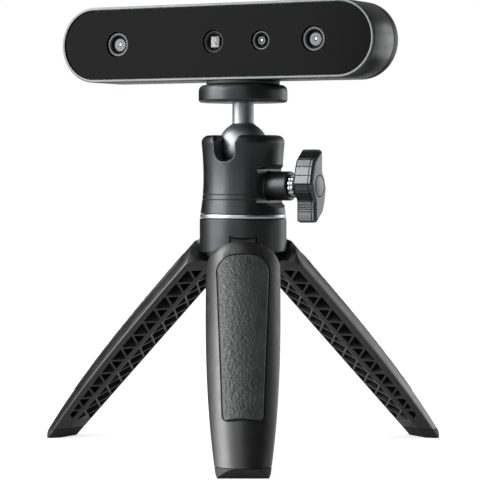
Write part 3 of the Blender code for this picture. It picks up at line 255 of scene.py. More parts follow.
# Scanner head
SCANNER_WIDTH = 0.1758
SCANNER_HEIGHT = 0.0382
SCANNER_OFFSET = 0.0104
SCANNER_FRONT = 0.013
SCANNER_REAR = 0.0176
HALF_HEIGHT = SCANNER_HEIGHT / 2
CAPSULE_STEPS = 40
BEZEL_WIDTH = 0.0014
BEZEL_DEPTH = 0.0015
BEZEL_LIP = 0.0006
BEZEL_NECK = 0.0005
BEZEL_EDGE = 0.0001
BEZEL_INNER_FILLET = 0.00025
BEZEL_OUTER_FILLET = 0.0004
PANEL_RECESS = 0.0005
PANEL_THICKNESS = 0.001
PANEL_EDGE = 0.00015
APERTURE_EDGE = 0.00012
SLEEVE_WALL = 0.0022
COVER_DEPTH = 0.0063
COVER_WALL = 0.002
COVER_FILLET = 0.0024
COVER_RING = 0.0005
COVER_EDGE = 0.0002
CAMERA_SPREAD = 0.0554
COLOR_CAMERA_OFFSET = 0.0265
CAMERA_RADIUS = 0.00635
PROJECTOR_RADIUS = 0.0057
COLOR_CAMERA_RADIUS = 0.0051
BARREL_RECESS = 0.0011
BARREL_WALL_SHARE = 0.22
LENS_RECESS = 0.0009
LENS_THICKNESS = 0.0016
BRACKET_FRONT = -0.0018
INSERT_RADIUS = 0.005
INSERT_HEIGHT = 0.0072
INSERT_BOSS_WALL = 0.0017
POST_RADIUS = 0.003
POST_SPREAD = 0.062
POST_RISE = 0.0145
COVER_SCREW_RADIUS = 0.0012
COVER_SCREW_LENGTH = 0.0105
COVER_HEAD_RADIUS = 0.0025
COVER_HEAD_HEIGHT = 0.0009
COVER_HEAD_SUNK = 0.0003
SCREW_TIP = 0.0006
SCREW_TIP_SHARE = 0.6
HEXAGON_RADIUS = 0.00085
HEXAGON_DEPTH = 0.0006
BUTTON_RADIUS = 0.005
BUTTON_FLANGE = 0.0011
BUTTON_FLANGE_DEPTH = 0.0013
BUTTON_PROUD = 0.0004
BUTTON_EDGE = 0.0005
BUTTON_LIP = 0.0012
BUTTON_LIP_FILLET = 0.0004
BUTTON_GROOVE_RADIUS = 0.0028
BUTTON_GROOVE = 0.0002
BUTTON_INNER_SUNK = 0.00022
BUTTON_DISH = 0.0003
LIGHT_RADIUS = 0.0014
LIGHT_RISE = 0.0092
LIGHT_SUNK = 0.0002
LIGHT_DOME = 0.0005
SOCKET_WIDTH = 0.0089
SOCKET_HEIGHT = 0.0032
SOCKET_MOUTH = 0.0007
SOCKET_DEPTH = 0.0062
SOCKET_PLACE = 0.04
SOCKET_SUNK = 0.0004
SOCKET_ROUND_GAP = 0.0001
SOCKET_EDGE = 0.00012
USB_TONGUE = (0.0065, 0.0007, 0.0002)
USB_TONGUE_SUNK = 0.0008
SLEEVE_FRONT = -SCANNER_FRONT + BEZEL_DEPTH + GAP
SLEEVE_BACK = SCANNER_REAR - COVER_DEPTH - GAP
COVER_INSIDE = SCANNER_REAR - COVER_WALL
BOARD_BACK = 0.0076
POST_CORNERS = list(itertools.product((-POST_SPREAD, POST_SPREAD), (-POST_RISE, POST_RISE)))

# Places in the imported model
PLACES = {
    body: Matrix.Translation(joint_place(joint) + Vector(offset))
    for body, joint, offset in (
        ("hub", "head_pan", (0, 0, -HUB_RISE - RING_HEIGHT - 2 * GAP)),
        ("head", "head_pan", (0, 0, 0)),
        ("seat", "head_pan", (0, 0, 0)),
        ("clamp", "clamp_turn", (0, 0, 0)),
        ("ball", "ball_tilt", (0, 0, 0)),
        ("scanner", "scanner_turn", (-SCANNER_OFFSET, 0, HALF_HEIGHT)),
        ("button", "scanner_turn", (-SCANNER_OFFSET, 0, HALF_HEIGHT)),
    )
}
AS_CLOSED = rotation(OPEN_ANGLE, "Y")  # takes what is upright on the open leg into the closed leg's frame


# Meshes

def in_scene(name, data):
    obj = bpy.data.objects.new(name, data)
    bpy.context.scene.collection.objects.link(obj)
    return obj


def of_points(points, faces, name="shape"):
    mesh = bpy.data.meshes.new(name)
    mesh.from_pydata(points, [], faces)
    return mesh


def shape_of(*meshes):
    """A bmesh of some meshes, which it uses up."""
    shape = bmesh.new()
    for mesh in meshes:
        shape.from_mesh(mesh)
        bpy.data.meshes.remove(mesh)
    return shape


def as_mesh(shape):
    """The mesh of a bmesh, which it uses up."""
    mesh = bpy.data.meshes.new("shape")
    shape.to_mesh(mesh)
    shape.free()
    return mesh


def finished(shape):
    bmesh.ops.remove_doubles(shape, verts=shape.verts, dist=WELD)
    bmesh.ops.recalc_face_normals(shape, faces=shape.faces)
    return as_mesh(shape)


def moved(mesh, turn):
    mesh.transform(turn)
    return mesh


def combined(body, tool, operation):
    """The Boolean of two closed meshes, which it uses up."""
    carrier, other = (in_scene("carrier", mesh) for mesh in (body, tool))
    boolean = carrier.modifiers.new("boolean", "BOOLEAN")
    boolean.operation = operation
    boolean.solver = "MANIFOLD"
    boolean.object = other
    return applied(carrier, other)


def applied(carrier, *others):
    """The mesh of an object with its modifiers in it. The objects and their own meshes go."""
    graph = bpy.context.evaluated_depsgraph_get()
    result = bpy.data.meshes.new_from_object(carrier.evaluated_get(graph))
    for obj in (carrier, *others):
        mesh = obj.data
        bpy.data.objects.remove(obj)
        bpy.data.meshes.remove(mesh)
    return result


def cut(body, *tools):
    for tool in tools:
        body = combined(body, tool, "DIFFERENCE")
    return body


def fused(body, *tools):
    for tool in tools:
        body = combined(body, tool, "UNION")
    return body


def kept(body, tool):
    return combined(body, tool, "INTERSECT")


def beveled(mesh, width, chosen=lambda edge: True, segments=2, angle=35):
    """Rounds the sharp edges that a test picks."""
    shape = shape_of(mesh)
    weights = shape.edges.layers.float.new("bevel_weight_edge")
    for edge in shape.edges:
        if len(edge.link_faces) == 2 and edge.calc_face_angle() > math.radians(angle) and chosen(edge):
            edge[weights] = 1
    carrier = in_scene("carrier", as_mesh(shape))
    bevel = carrier.modifiers.new("bevel", "BEVEL")
    bevel.limit_method = "WEIGHT"
    bevel.width = width
    bevel.segments = segments
    return applied(carrier)


def arc(center, radius, start, end, steps=FILLET_STEPS):
    x, y = center
    angles = [start + (end - start) * step / steps for step in range(steps + 1)]
    return [(x + radius * math.cos(angle), y + radius * math.sin(angle)) for angle in angles]


def rounded(corners, closed=True, steps=FILLET_STEPS):
    """The outline through (x, y, fillet) corners, with an arc at each corner that has a fillet."""
    outline = []
    ends = () if closed else (0, len(corners) - 1)
    for index, (x, y, fillet) in enumerate(corners):
        if fillet <= 0 or index in ends:
            outline.append((x, y))
            continue
        corner = Vector((x, y))
        before = (Vector(corners[index - 1][:2]) - corner).normalized()
        after = (Vector(corners[(index + 1) % len(corners)][:2]) - corner).normalized()
        half = before.angle(after) / 2
        center = corner + (before + after).normalized() * (fillet / math.sin(half))
        start = corner + before * (fillet / math.tan(half)) - center
        end = corner + after * (fillet / math.tan(half)) - center
        sweep = start.angle_signed(end)
        for step in range(steps + 1):
            turned_by = -sweep * step / steps
            cosine, sine = math.cos(turned_by), math.sin(turned_by)
            outline.append((center.x + start.x * cosine - start.y * sine, center.y + start.x * sine + start.y * cosine))
    return outline


def turned(section, sides=ROUND_SIDES):
    """A body turned about Z from the (radius, height) points of its section, in order."""
    shape = bmesh.new()
    corners = [shape.verts.new((radius, 0, height)) for radius, height in section]
    pairs = list(zip(corners, corners[1:] + corners[:1]))
    if section[0][0] == 0 and section[-1][0] == 0:
        pairs.pop()
    edges = [shape.edges.new(pair) for pair in pairs]
    bmesh.ops.spin(
        shape, geom=corners + edges, cent=(0, 0, 0), axis=(0, 0, 1), angle=math.tau, steps=sides, use_merge=True
    )
    return finished(shape)


def lathed(corners, sides, closed=True, steps=3):
    """A turned body whose section is the outline through (radius, height, fillet) corners."""
    return turned(rounded(corners, closed, steps), sides)


def lofted(loops, ring=False):
    """A body through loops of equally many points: capped at both ends, or closed on itself as a ring."""
    shape = bmesh.new()
    rows = [[shape.verts.new(point) for point in loop] for loop in loops]
    following = rows[1:] + rows[:1] if ring else rows[1:]
    for row, after in zip(rows, following):
        for index in range(len(row)):
            beside = (index + 1) % len(row)
            shape.faces.new((row[index], row[beside], after[beside], after[index]))
    if not ring:
        shape.faces.new(rows[0])
        shape.faces.new(rows[-1])
    return finished(shape)


def extruded(outline, start, end, axis="Z"):
    """A prism along an axis, from an outline in the other two."""
    at = "XYZ".index(axis)
    return lofted([[(*point[:at], along, *point[at:]) for point in outline] for along in (start, end)])


def rod(radius, start, end, axis="Z", sides=SMALL_SIDES, center=(0, 0)):
    return extruded(arc(center, radius, 0, math.tau, sides)[:-1], start, end, axis)


def rectangle(width, height, fillet, center=(0, 0)):
    x, y = center
    half_x, half_y = width / 2, height / 2
    sides = ((1, 1), (-1, 1), (-1, -1), (1, -1))
    return rounded([(x + side_x * half_x, y + side_y * half_y, fillet) for side_x, side_y in sides])


def both(a, b, radius):
    """What lies in both of two fields, with the edge between them rounded."""
    corner = np.hypot(np.maximum(a + radius, 0), np.maximum(b + radius, 0))
    return np.minimum(np.maximum(a, b), -radius) + corner


def either(a, b, radius):
    """What lies in either of two fields, with the corner between them filled by a fillet."""
    corner = np.hypot(np.maximum(radius - a, 0), np.maximum(radius - b, 0))
    return np.maximum(np.minimum(a, b), radius) - corner


def sculpted(field, axes):
    """The closed surface on which a field is zero, from a grid of lines at the places given along each axis."""
    inside = field(*np.meshgrid(*axes, indexing="ij")) < 0
    counts = [size - 1 for size in inside.shape]
    corners = [
        inside[i : i + counts[0], j : j + counts[1], k : k + counts[2]]
        for i, j, k in itertools.product((0, 1), repeat=3)
    ]
    mixed = np.logical_or.reduce(corners) & ~np.logical_and.reduce(corners)
    numbers = np.full(mixed.shape, -1)
    cells = np.argwhere(mixed)
    numbers[mixed] = np.arange(len(cells))
    low = np.stack([axes[i][cells[:, i]] for i in range(3)], axis=1)
    high = np.stack([axes[i][cells[:, i] + 1] for i in range(3)], axis=1)
    points = (low + high) / 2
    for _ in range(FIELD_STEPS):
        value = field(*points.T)
        slope = np.stack([(field(*(points + step).T) - value) / WELD for step in np.eye(3) * WELD], axis=1)
        points -= slope * (value / np.maximum((slope**2).sum(axis=1), FLATTEST_SLOPE))[:, None]
        points = np.clip(points, low, high)
    quads = []
    for axis in range(3):
        before = np.moveaxis(inside, axis, 0)[:-1]
        after = np.moveaxis(inside, axis, 0)[1:]
        crossing = np.argwhere(np.moveaxis(before != after, 0, axis))
        outward = np.moveaxis(before, 0, axis)[tuple(crossing.T)]
        across, beyond = (axis + 1) % 3, (axis + 2) % 3
        ring = []
        for shift_a, shift_b in ((0, 0), (-1, 0), (-1, -1), (0, -1)):
            cell = crossing.copy()
            cell[:, across] += shift_a
            cell[:, beyond] += shift_b
            ring.append(numbers[tuple(cell.T)])
        ring = np.stack(ring, axis=1)
        ring[~outward] = ring[~outward][:, ::-1]
        quads.append(ring)
    quads = np.concatenate(quads)
    mesh = of_points(points.tolist(), quads.tolist())
    mesh.update()
    return mesh


def grid_lines(low, high, pitch=GRID_PITCH, fine=()):
    """Places of grid lines along an axis, closer together near the places in fine."""
    lines = list(np.arange(low - 2 * pitch, high + 3 * pitch, pitch))
    for place in fine:
        lines = [line for line in lines if abs(line - place) > FINE_SPAN * pitch]
        lines += list(np.linspace(place - FINE_SPAN * pitch, place + FINE_SPAN * pitch, FINE_LINES))
    return np.array(sorted(lines))


def piece(name, mesh, body, finish, node=None, slot=None, angle=35, place=None):
    """A visible piece: it rides on a body and may stand for a node. Its slot argument is not used."""
    mesh.transform(PLACES[body] if place is None else place)
    mesh.name = name
    obj = in_scene(name, mesh)
    mesh.materials.clear()
    mesh.materials.append(FINISHES[finish])
    mesh.shade_smooth()
    mesh.set_sharp_from_angle(angle=math.radians(angle))
    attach(obj, body)
    if node:
        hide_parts(node)
    slot or finish


# Materials

def feed(tree, node, **inputs):
    """Each input of a node gets a value, or the output of another node."""
    for name, value in inputs.items():
        socket = node.inputs[name.replace("_", " ")]
        if isinstance(value, bpy.types.NodeSocket):
            tree.links.new(value, socket)
        else:
            socket.default_value = value


def made(tree, kind, output, **inputs):
    """An output of a new node."""
    node = tree.nodes.new("ShaderNode" + kind)
    feed(tree, node, **inputs)
    return node.outputs[output]


def ranged(tree, source, low, high, start=0.0, end=1.0):
    return made(tree, "MapRange", "Result", Value=source, From_Min=start, From_Max=end, To_Min=low, To_Max=high)


def new_material(name):
    material = bpy.data.materials.new(name)
    material.use_nodes = True
    return material, material.node_tree


class Finish:
    """A material under construction: a Principled shader with a few helpers for the nodes that feed it."""

    def __init__(self, name, roughness, metallic=0.0, **sockets):
        self.material, self.tree = new_material(name)
        self.shader = self.tree.nodes["Principled BSDF"]
        self.coordinates = made(self.tree, "TexCoord", "Object")
        self.normal = {}
        feed(self.tree, self.shader, Metallic=metallic, Roughness=roughness, **sockets)

    def stretched(self, stretch):
        if stretch is None:
            return self.coordinates
        return made(self.tree, "Mapping", "Vector", Scale=stretch, Vector=self.coordinates)

    def noise(self, scale, detail=3.0, roughness=0.55, stretch=None):
        vector = self.stretched(stretch)
        return made(self.tree, "TexNoise", "Fac", Scale=scale, Detail=detail, Roughness=roughness, Vector=vector)

    def cells(self, scale, feature="DISTANCE_TO_EDGE", stretch=None):
        distance = made(self.tree, "TexVoronoi", "Distance", Scale=scale, Vector=self.stretched(stretch))
        distance.node.feature = feature
        return distance

    def colored(self, source, *colors):
        """The base colour runs from one colour to the other as the source goes through its middle."""
        color = made(self.tree, "ValToRGB", "Color", Fac=source)
        for element, position, shade in zip(color.node.color_ramp.elements, MIDDLE, colors):
            element.position = position
            element.color = (*shade, 1)
        feed(self.tree, self.shader, Base_Color=color)

    def rough(self, source, low, high):
        feed(self.tree, self.shader, Roughness=ranged(self.tree, source, low, high, *MIDDLE))

    def bumped(self, source, distance, strength=1.0):
        normal = made(self.tree, "Bump", "Normal", Strength=strength, Distance=distance, Height=source, **self.normal)
        self.normal = {"Normal": normal}
        feed(self.tree, self.shader, Normal=normal)


def grey(level, tint=(1.0, 1.0, 1.0)):
    """A grey by its sRGB level of 255, with a slight tint."""
    value = level / 255
    linear = value / 12.92 if value <= 0.04045 else ((value + 0.055) / 1.055) ** 2.4
    return tuple(linear * part for part in tint)


MIDDLE = (0.3, 0.7)  # where most of a noise lies
COOL = (0.97, 1.0, 1.03)
GREENISH = (0.95, 1.02, 1.0)


def plain_finish(name, level, roughness, metallic=0.0, tint=COOL, spread=0.12, grain=2600.0, depth=0.000012, **sockets):
    """Moulded or blasted stuff: soft blotches of colour, uneven gloss and a fine grain."""
    finish = Finish(name, roughness, metallic, **sockets)
    finish.colored(finish.noise(45.0, 4.0), grey(level * (1 - spread), tint), grey(level * (1 + spread), tint))
    finish.rough(finish.noise(160.0, 3.0), roughness - 0.05, roughness + 0.05)
    finish.bumped(finish.noise(grain, 2.0, 0.6), depth)
    return finish.material


def grip_finish():
    finish = Finish("grained_rubber", 0.5, Specular_IOR_Level=0.55)
    finish.colored(finish.noise(120.0, 5.0), grey(50, GREENISH), grey(66, GREENISH))
    finish.rough(finish.noise(900.0, 3.0), 0.4, 0.58)
    finish.bumped(finish.cells(1500.0, stretch=(1, 1, 0.7)), 0.00004, 0.7)
    finish.bumped(finish.noise(4200.0, 2.0), 0.00002, 0.6)
    return finish.material


def brushed_finish(name, level, roughness, stretch, spread=0.1):
    """Turned metal: fine tool marks round its axis."""
    finish = Finish(name, roughness, 1.0)
    marks = finish.noise(900.0, 3.0, stretch=stretch)
    finish.colored(marks, grey(level * (1 - spread), COOL), grey(level * (1 + spread / 2), COOL))
    finish.rough(marks, roughness - 0.05, roughness + 0.06)
    finish.bumped(marks, 0.000006)
    return finish.material


def glass_finish(name, level, roughness, **sockets):
    finish = Finish(name, roughness, **sockets)
    smear = finish.noise(35.0, 4.0)
    finish.colored(smear, grey(level), grey(level + 3))
    finish.rough(smear, roughness * 0.7, roughness * 1.3)
    return finish.material


# Glows by itself: the status light's diffuser, and the lens glints, which are painted highlights standing in for a
# lamp's reflection
def glow_finish(name, level, strength):
    color = grey(level)
    finish = Finish(name, 0.3, Emission_Color=(*color, 1), Emission_Strength=strength)
    finish.colored(finish.noise(1800.0, 2.0), grey(level * 0.85), color)
    return finish.material


def die_finish():
    """The projector's mask: pale, with rows of dimmer round cells."""
    finish = Finish("projector_mask", 0.3)
    dots = finish.cells(760.0, "F1")
    finish.colored(ranged(finish.tree, dots, *MIDDLE, 0.1, 0.75), grey(84), grey(188))
    finish.bumped(dots, 0.00004, 0.5)
    return finish.material


FINISHES = {
    "anodised": plain_finish("satin_anodised", 64, 0.34, 0.85, spread=0.05, depth=0.000006),
    "leg_body": plain_finish("satin_moulding", 27, 0.35, 0.0, spread=0.06, depth=0.000008, Specular_IOR_Level=0.78),
    "bright": brushed_finish("turned_bright", 200, 0.32, (1, 1, 40)),
    "ball": brushed_finish("blasted_ball", 150, 0.44, (1, 1, 8)),
    "steel": brushed_finish("bright_steel", 120, 0.3, (1, 1, 20)),
    "brass": brushed_finish("turned_brass", 170, 0.28, (1, 1, 20)),
    "rubber": plain_finish("plain_rubber", 27, 0.6, spread=0.15, grain=1500.0, depth=0.00002),
    "grip": grip_finish(),
    "knob": plain_finish("knob_moulding", 82, 0.25, 0.85, spread=0.06, depth=0.000006),
    "nylon": plain_finish("dark_nylon", 34, 0.5, spread=0.12),
    "shell": plain_finish("satin_shell", 66, 0.33, 0.75, spread=0.05, grain=3200.0, depth=0.000006),
    "cover": plain_finish("cover_moulding", 34, 0.45, spread=0.08, grain=2200.0, depth=0.00001),
    "panel": glass_finish("front_glass", 15, 0.14, Specular_IOR_Level=0.03),
    "lens": glass_finish("lens_glass", 6, 0.08, Specular_IOR_Level=0.05),
    "board": plain_finish("board_laminate", 70, 0.4, tint=(0.5, 1.1, 0.7), spread=0.1),
    "light": glow_finish("status_diffuser", 205, 0.25),
    "bezel": plain_finish("bezel_edge", 90, 0.28, 0.9, spread=0.04, depth=0.000004),
    "barrel": plain_finish("barrel_ring", 80, 0.35, 0.2, spread=0.05, depth=0.000004),
    "projector_barrel": plain_finish("projector_cone", BORE_SIDES, 0.4, 0.2, spread=0.1, depth=0.000004),
    "element": plain_finish("lens_element", 108, 0.3, 0.1, spread=0.06, depth=0.000003),
    # Painted highlight: the lens glints glow by themselves rather than reflect a lamp
    "glint": glow_finish("lens_glint", 240, 1.0),
    "die": die_finish(),
}


# Legs

def handle_radius(depth):
    """Outer radius of the closed handle at a depth below the hinge pins."""
    share = max(depth - LEG_TOP, 0) / HANDLE_LENGTH
    return HANDLE_TOP_RADIUS - HANDLE_TAPER * share**HANDLE_CURVE


def handle_depths(start=LEG_TOP - LEG_ABOVE, end=FOOT_REACH + LEG_SPARE, stations=LEG_STATIONS):
    return [start + (end - start) * step / stations for step in range(stations + 1)]


def handle_arc(depth, inset=0):
    radius = handle_radius(depth)
    half_angle = SECTOR_HALF_ANGLE - math.asin(LEG_SIDE_GAP / radius)
    return arc((-PIN_CIRCLE, 0), radius - inset, -half_angle, half_angle, LEG_ARC_STEPS)


def wedge_section(depth):
    """A leg's outline at a depth, as (outward from the pin, sideways) points: a third of the round handle."""
    flat = LEG_INNER_FLAT * math.tan(SECTOR_HALF_ANGLE) - LEG_SIDE_GAP / math.cos(SECTOR_HALF_ANGLE)
    inner = LEG_INNER_FLAT - PIN_CIRCLE
    outside = [(x, y, 0) for x, y in handle_arc(depth)]
    del outside[1], outside[-2]
    outside[0] = (*outside[0][:2], LEG_RIM)
    outside[-1] = (*outside[-1][:2], LEG_RIM)
    return rounded([(inner, -flat, LEG_EDGE)] + outside + [(inner, flat, LEG_EDGE)], steps=4)


def stacked(outline_at, depths):
    """A body through the outlines at some depths below the hinge pins."""
    return lofted([[(x, y, -depth) for x, y in outline_at(depth)] for depth in depths])


def handle_core(inset, start, end):
    """The round core of the closed handle, inset from its surface."""

    def circle(depth):
        return arc((-PIN_CIRCLE, 0), handle_radius(depth) - inset, 0, math.tau, CORE_SIDES)[:-1]

    return stacked(circle, handle_depths(start, end, CORE_STATIONS))


def handle_band(inner_inset, outer_inset):
    """A curved band along the outside of one leg, between two insets from its surface."""
    return stacked(lambda depth: handle_arc(depth, outer_inset) + handle_arc(depth, inner_inset)[::-1], handle_depths())


def below_floor(height):
    """A block that fills all that lies lower than a height above the floor, in the space of a closed leg."""
    reach = 2 * FOOT_REACH
    block = extruded(rectangle(reach, reach, FOOT_HEIGHT), -reach, 0)
    return moved(block, AS_CLOSED @ shift(x=FOOT_REACH, z=height - PIN_HEIGHT))


def foot_face_cutter():
    """A block outside the foot's outer face, which leans in towards the floor."""
    rise = (handle_radius(FOOT_REACH) - PIN_CIRCLE) * math.sin(OPEN_ANGLE)
    depth = (PIN_HEIGHT - FOOT_HEIGHT + rise) / math.cos(OPEN_ANGLE)
    out = handle_radius(depth) - PIN_CIRCLE
    tip = out * math.cos(OPEN_ANGLE) + depth * math.sin(OPEN_ANGLE)
    level = out * math.sin(OPEN_ANGLE) - depth * math.cos(OPEN_ANGLE)
    block = extruded(rectangle(FOOT_REACH, FOOT_REACH, FOOT_HEIGHT), 0, FOOT_REACH, "X")
    return moved(block, AS_CLOSED @ shift(tip, 0, level) @ rotation(math.atan2(FOOT_LEAN, FOOT_HEIGHT), "Y"))


def foot_side_cutters():
    """Blocks beside the foot, whose two sides lean in towards the floor."""
    middle = FOOT_HEIGHT - PIN_HEIGHT
    top, bottom = middle + FOOT_HEIGHT, middle - 2 * FOOT_HEIGHT
    half = handle_radius(FOOT_REACH) * math.sin(SECTOR_HALF_ANGLE) + FOOT_SIDE_OUT
    outline = [(half + FOOT_SIDE_LEAN, top), (2 * half, top), (2 * half, bottom), (half - 2 * FOOT_SIDE_LEAN, bottom)]
    sides = ([(-y, z) for y, z in outline], outline)
    return [moved(extruded(side, 0, 2 * FOOT_REACH, "X"), AS_CLOSED) for side in sides]


def shoulder_prism():
    """The leg's outline seen from outside: square at the top, with round shoulders."""
    half = handle_radius(LEG_TOP) * math.sin(SECTOR_HALF_ANGLE)
    bottom = -(FOOT_REACH + 2 * LEG_SPARE)
    corner = (half - SHOULDER_FILLET, -LEG_TOP - SHOULDER_FILLET)
    right = arc(corner, SHOULDER_FILLET, 0, math.pi / 2, 12)
    left = arc((-corner[0], corner[1]), SHOULDER_FILLET, math.pi / 2, math.pi, 12)
    outline = [(half + LEG_EDGE, bottom), (half + LEG_EDGE, corner[1])] + right + left
    outline += [(-half - LEG_EDGE, corner[1]), (-half - LEG_EDGE, bottom)]
    return extruded(outline, -HANDLE_TOP_RADIUS, HANDLE_TOP_RADIUS, "X")


def tongue():
    """The hinge tongue at a leg's top: a round end with two flats towards the tripod's axis."""
    size = 2 * TONGUE_RADIUS
    tail = -LEG_TOP - TONGUE_TAIL
    half = TONGUE_WIDTH / 2
    body = rod(TONGUE_RADIUS, -half, half, "Y", RIM_SIDES)
    block = [(-TONGUE_INNER, tail), (TONGUE_RADIUS, tail), (TONGUE_RADIUS, 0), (-TONGUE_INNER, 0)]
    body = fused(body, extruded(block, -half, half, "Y"))
    for turn in (0, OPEN_ANGLE):
        flat = extruded(rectangle(2 * size, 2 * size, 0), -size, size, "Y")
        body = cut(body, moved(flat, rotation(turn, "Y") @ shift(x=-size - TONGUE_INNER)))
    body = cut(body, extruded(rectangle(2 * size, 2 * size, 0, (0, tail - size)), -size, size, "Y"))
    return beveled(body, LEG_EDGE, lambda edge: min(vert.co.z for vert in edge.verts) > tail + WELD)


def rails():
    """What the pockets leave standing along the two inner edges of a leg."""
    reach, inner = HANDLE_TOP_RADIUS, LEG_INNER_FLAT - PIN_CIRCLE
    start = LEG_INNER_FLAT * math.tan(SECTOR_HALF_ANGLE) - RAIL
    outline = [(inner - reach, start), (inner + RAIL, start), (inner + RAIL, 2 * reach), (inner - reach, 2 * reach)]
    return [extruded(side, -2 * FOOT_REACH, 0) for side in ([(x, -y) for x, y in outline], outline)]


def lattice_cells():
    """The diamond pockets of a leg, which leave crossed ribs and the outer shell standing."""
    side = math.hypot(LATTICE_HALF_WIDTH, LATTICE_PITCH / 2)
    to_side = LATTICE_HALF_WIDTH * LATTICE_PITCH / 2 / side
    shrink = (to_side - RIB / 2) / to_side
    half_width = LATTICE_HALF_WIDTH * shrink
    half_height = LATTICE_PITCH / 2 * shrink
    last = (PIN_HEIGHT - FOOT_HEIGHT - END_WALL) / math.cos(OPEN_ANGLE) - PIN_CIRCLE + LEG_INNER_FLAT
    cells = []
    for column in range(-LATTICE_COLUMNS, LATTICE_COLUMNS + 1):
        middle = column * LATTICE_HALF_WIDTH
        first = LATTICE_TOP + LATTICE_PITCH * LATTICE_ROW_SHARES[column % 2]
        for row in range(int((last - first) / LATTICE_PITCH) + 1):
            depth = first + row * LATTICE_PITCH
            corners = [
                (middle + half_width, -depth, CELL_SIDE_FILLET),
                (middle, half_height - depth, CELL_END_FILLET),
                (middle - half_width, -depth, CELL_SIDE_FILLET),
                (middle, -half_height - depth, CELL_END_FILLET),
            ]
            cells.append(extruded(rounded(corners, steps=2), -PIN_CIRCLE, HANDLE_TOP_RADIUS, "X"))
    core = handle_core(SHELL, LATTICE_TOP, FOOT_REACH + LEG_SPARE)
    core = cut(core, below_floor(FOOT_HEIGHT + END_WALL), *rails())
    return kept(as_mesh(shape_of(*cells)), core)


def grip_outline(margin):
    """The grip's outline seen from outside, as (sideways, height) points, grown by a margin."""
    top_out, bottom_out = GRIP_TOP_WIDTH / 2 + margin, GRIP_BOTTOM_WIDTH / 2 + margin
    top, bottom = margin - GRIP_TOP, -GRIP_BOTTOM - margin
    top_fillet, bottom_fillet = GRIP_TOP_FILLET + margin, GRIP_BOTTOM_FILLET + margin
    corners = [(top_out, top, top_fillet), (-top_out, top, top_fillet), (-bottom_out, bottom, bottom_fillet)]
    for share in np.linspace(-0.5, 0.5, 11):
        corners.append((share * bottom_out, bottom - GRIP_BOW * (1 - share**2), 0))
    return rounded([*corners, (bottom_out, bottom, bottom_fillet)], steps=12)


def leg_blank():
    return kept(stacked(wedge_section, handle_depths()), shoulder_prism())


def peg(radius, height):
    depth = (PIN_HEIGHT - FOOT_HEIGHT) / math.cos(OPEN_ANGLE)
    place = PEG_PLACE - PIN_CIRCLE
    top = -depth - place * math.tan(OPEN_ANGLE) + height
    return rod(radius, top - height - FOOT_HEIGHT / 2, top, "Z", PEG_SIDES, (place, 0))


def on_leg_rim(edge):
    """Whether an edge lies where the leg's ribs and shoulders end: on its flat sides, its inner flat or its top."""
    x, y, z = (edge.verts[0].co + edge.verts[1].co) / 2
    to_side = math.cos(SECTOR_HALF_ANGLE) * abs(y) - math.sin(SECTOR_HALF_ANGLE) * (x + PIN_CIRCLE)
    on_side = abs(to_side + LEG_SIDE_GAP) < ON_FACE
    on_flat = abs(x - LEG_INNER_FLAT + PIN_CIRCLE) < ON_FACE
    outside = math.hypot(x + PIN_CIRCLE, y) > handle_radius(-z) - NEAR_SURFACE
    return on_side or on_flat or (outside and z > -LEG_TOP - SHOULDER_FILLET)


def leg_mesh():
    body = cut(leg_blank(), lattice_cells())
    recess = handle_band(GRIP_THICKNESS - GRIP_PROUD + GAP, -OVERRUN)
    recess = kept(recess, extruded(grip_outline(GRIP_GROOVE), 0, HANDLE_TOP_RADIUS + OVERRUN, "X"))
    body = cut(body, recess, peg(PEG_RADIUS + GAP, PEG_HEIGHT + GAP), below_floor(FOOT_HEIGHT + GAP))
    body = fused(beveled(body, LEG_EDGE, on_leg_rim), tongue())
    return cut(body, rod(PIN_RADIUS + GAP, -TONGUE_WIDTH, TONGUE_WIDTH, "Y", ROD_SIDES))


def foot_mesh():
    body = kept(leg_blank(), below_floor(FOOT_HEIGHT))
    body = cut(body, foot_face_cutter(), *foot_side_cutters(), below_floor(0))
    return fused(beveled(body, FOOT_EDGE, segments=3, angle=30), peg(PEG_RADIUS, PEG_HEIGHT))


def leather(across, along):
    """Height of the leather grain, from 0 to 1: irregular lumps with creases between them."""
    random = np.random.default_rng(7)
    columns, rows = GRAIN_CELLS
    jitter = random.random((columns, rows, 2))
    level = random.random((columns, rows))
    u = across / GRAIN_CELL + columns / 2
    v = along / (GRAIN_CELL * GRAIN_STRETCH)
    cell_u, cell_v = np.floor(u).astype(int), np.floor(v).astype(int)
    nearest, second, lump = np.full(u.shape, np.inf), np.full(u.shape, np.inf), np.zeros(u.shape)
    for shift_u, shift_v in itertools.product((-1, 0, 1), repeat=2):
        i = np.clip(cell_u + shift_u, 0, columns - 1)
        j = np.clip(cell_v + shift_v, 0, rows - 1)
        distance = np.hypot(i + jitter[i, j, 0] - u, j + jitter[i, j, 1] - v)
        closer = distance < nearest
        second = np.where(closer, nearest, np.minimum(second, distance))
        lump = np.where(closer, level[i, j], lump)
        nearest = np.where(closer, distance, nearest)
    crease = np.clip((second - nearest) / GRAIN_CREASE, 0, 1)
    return crease * (2 - crease) * (GRAIN_LOW_SHARE + (1 - GRAIN_LOW_SHARE) * lump)


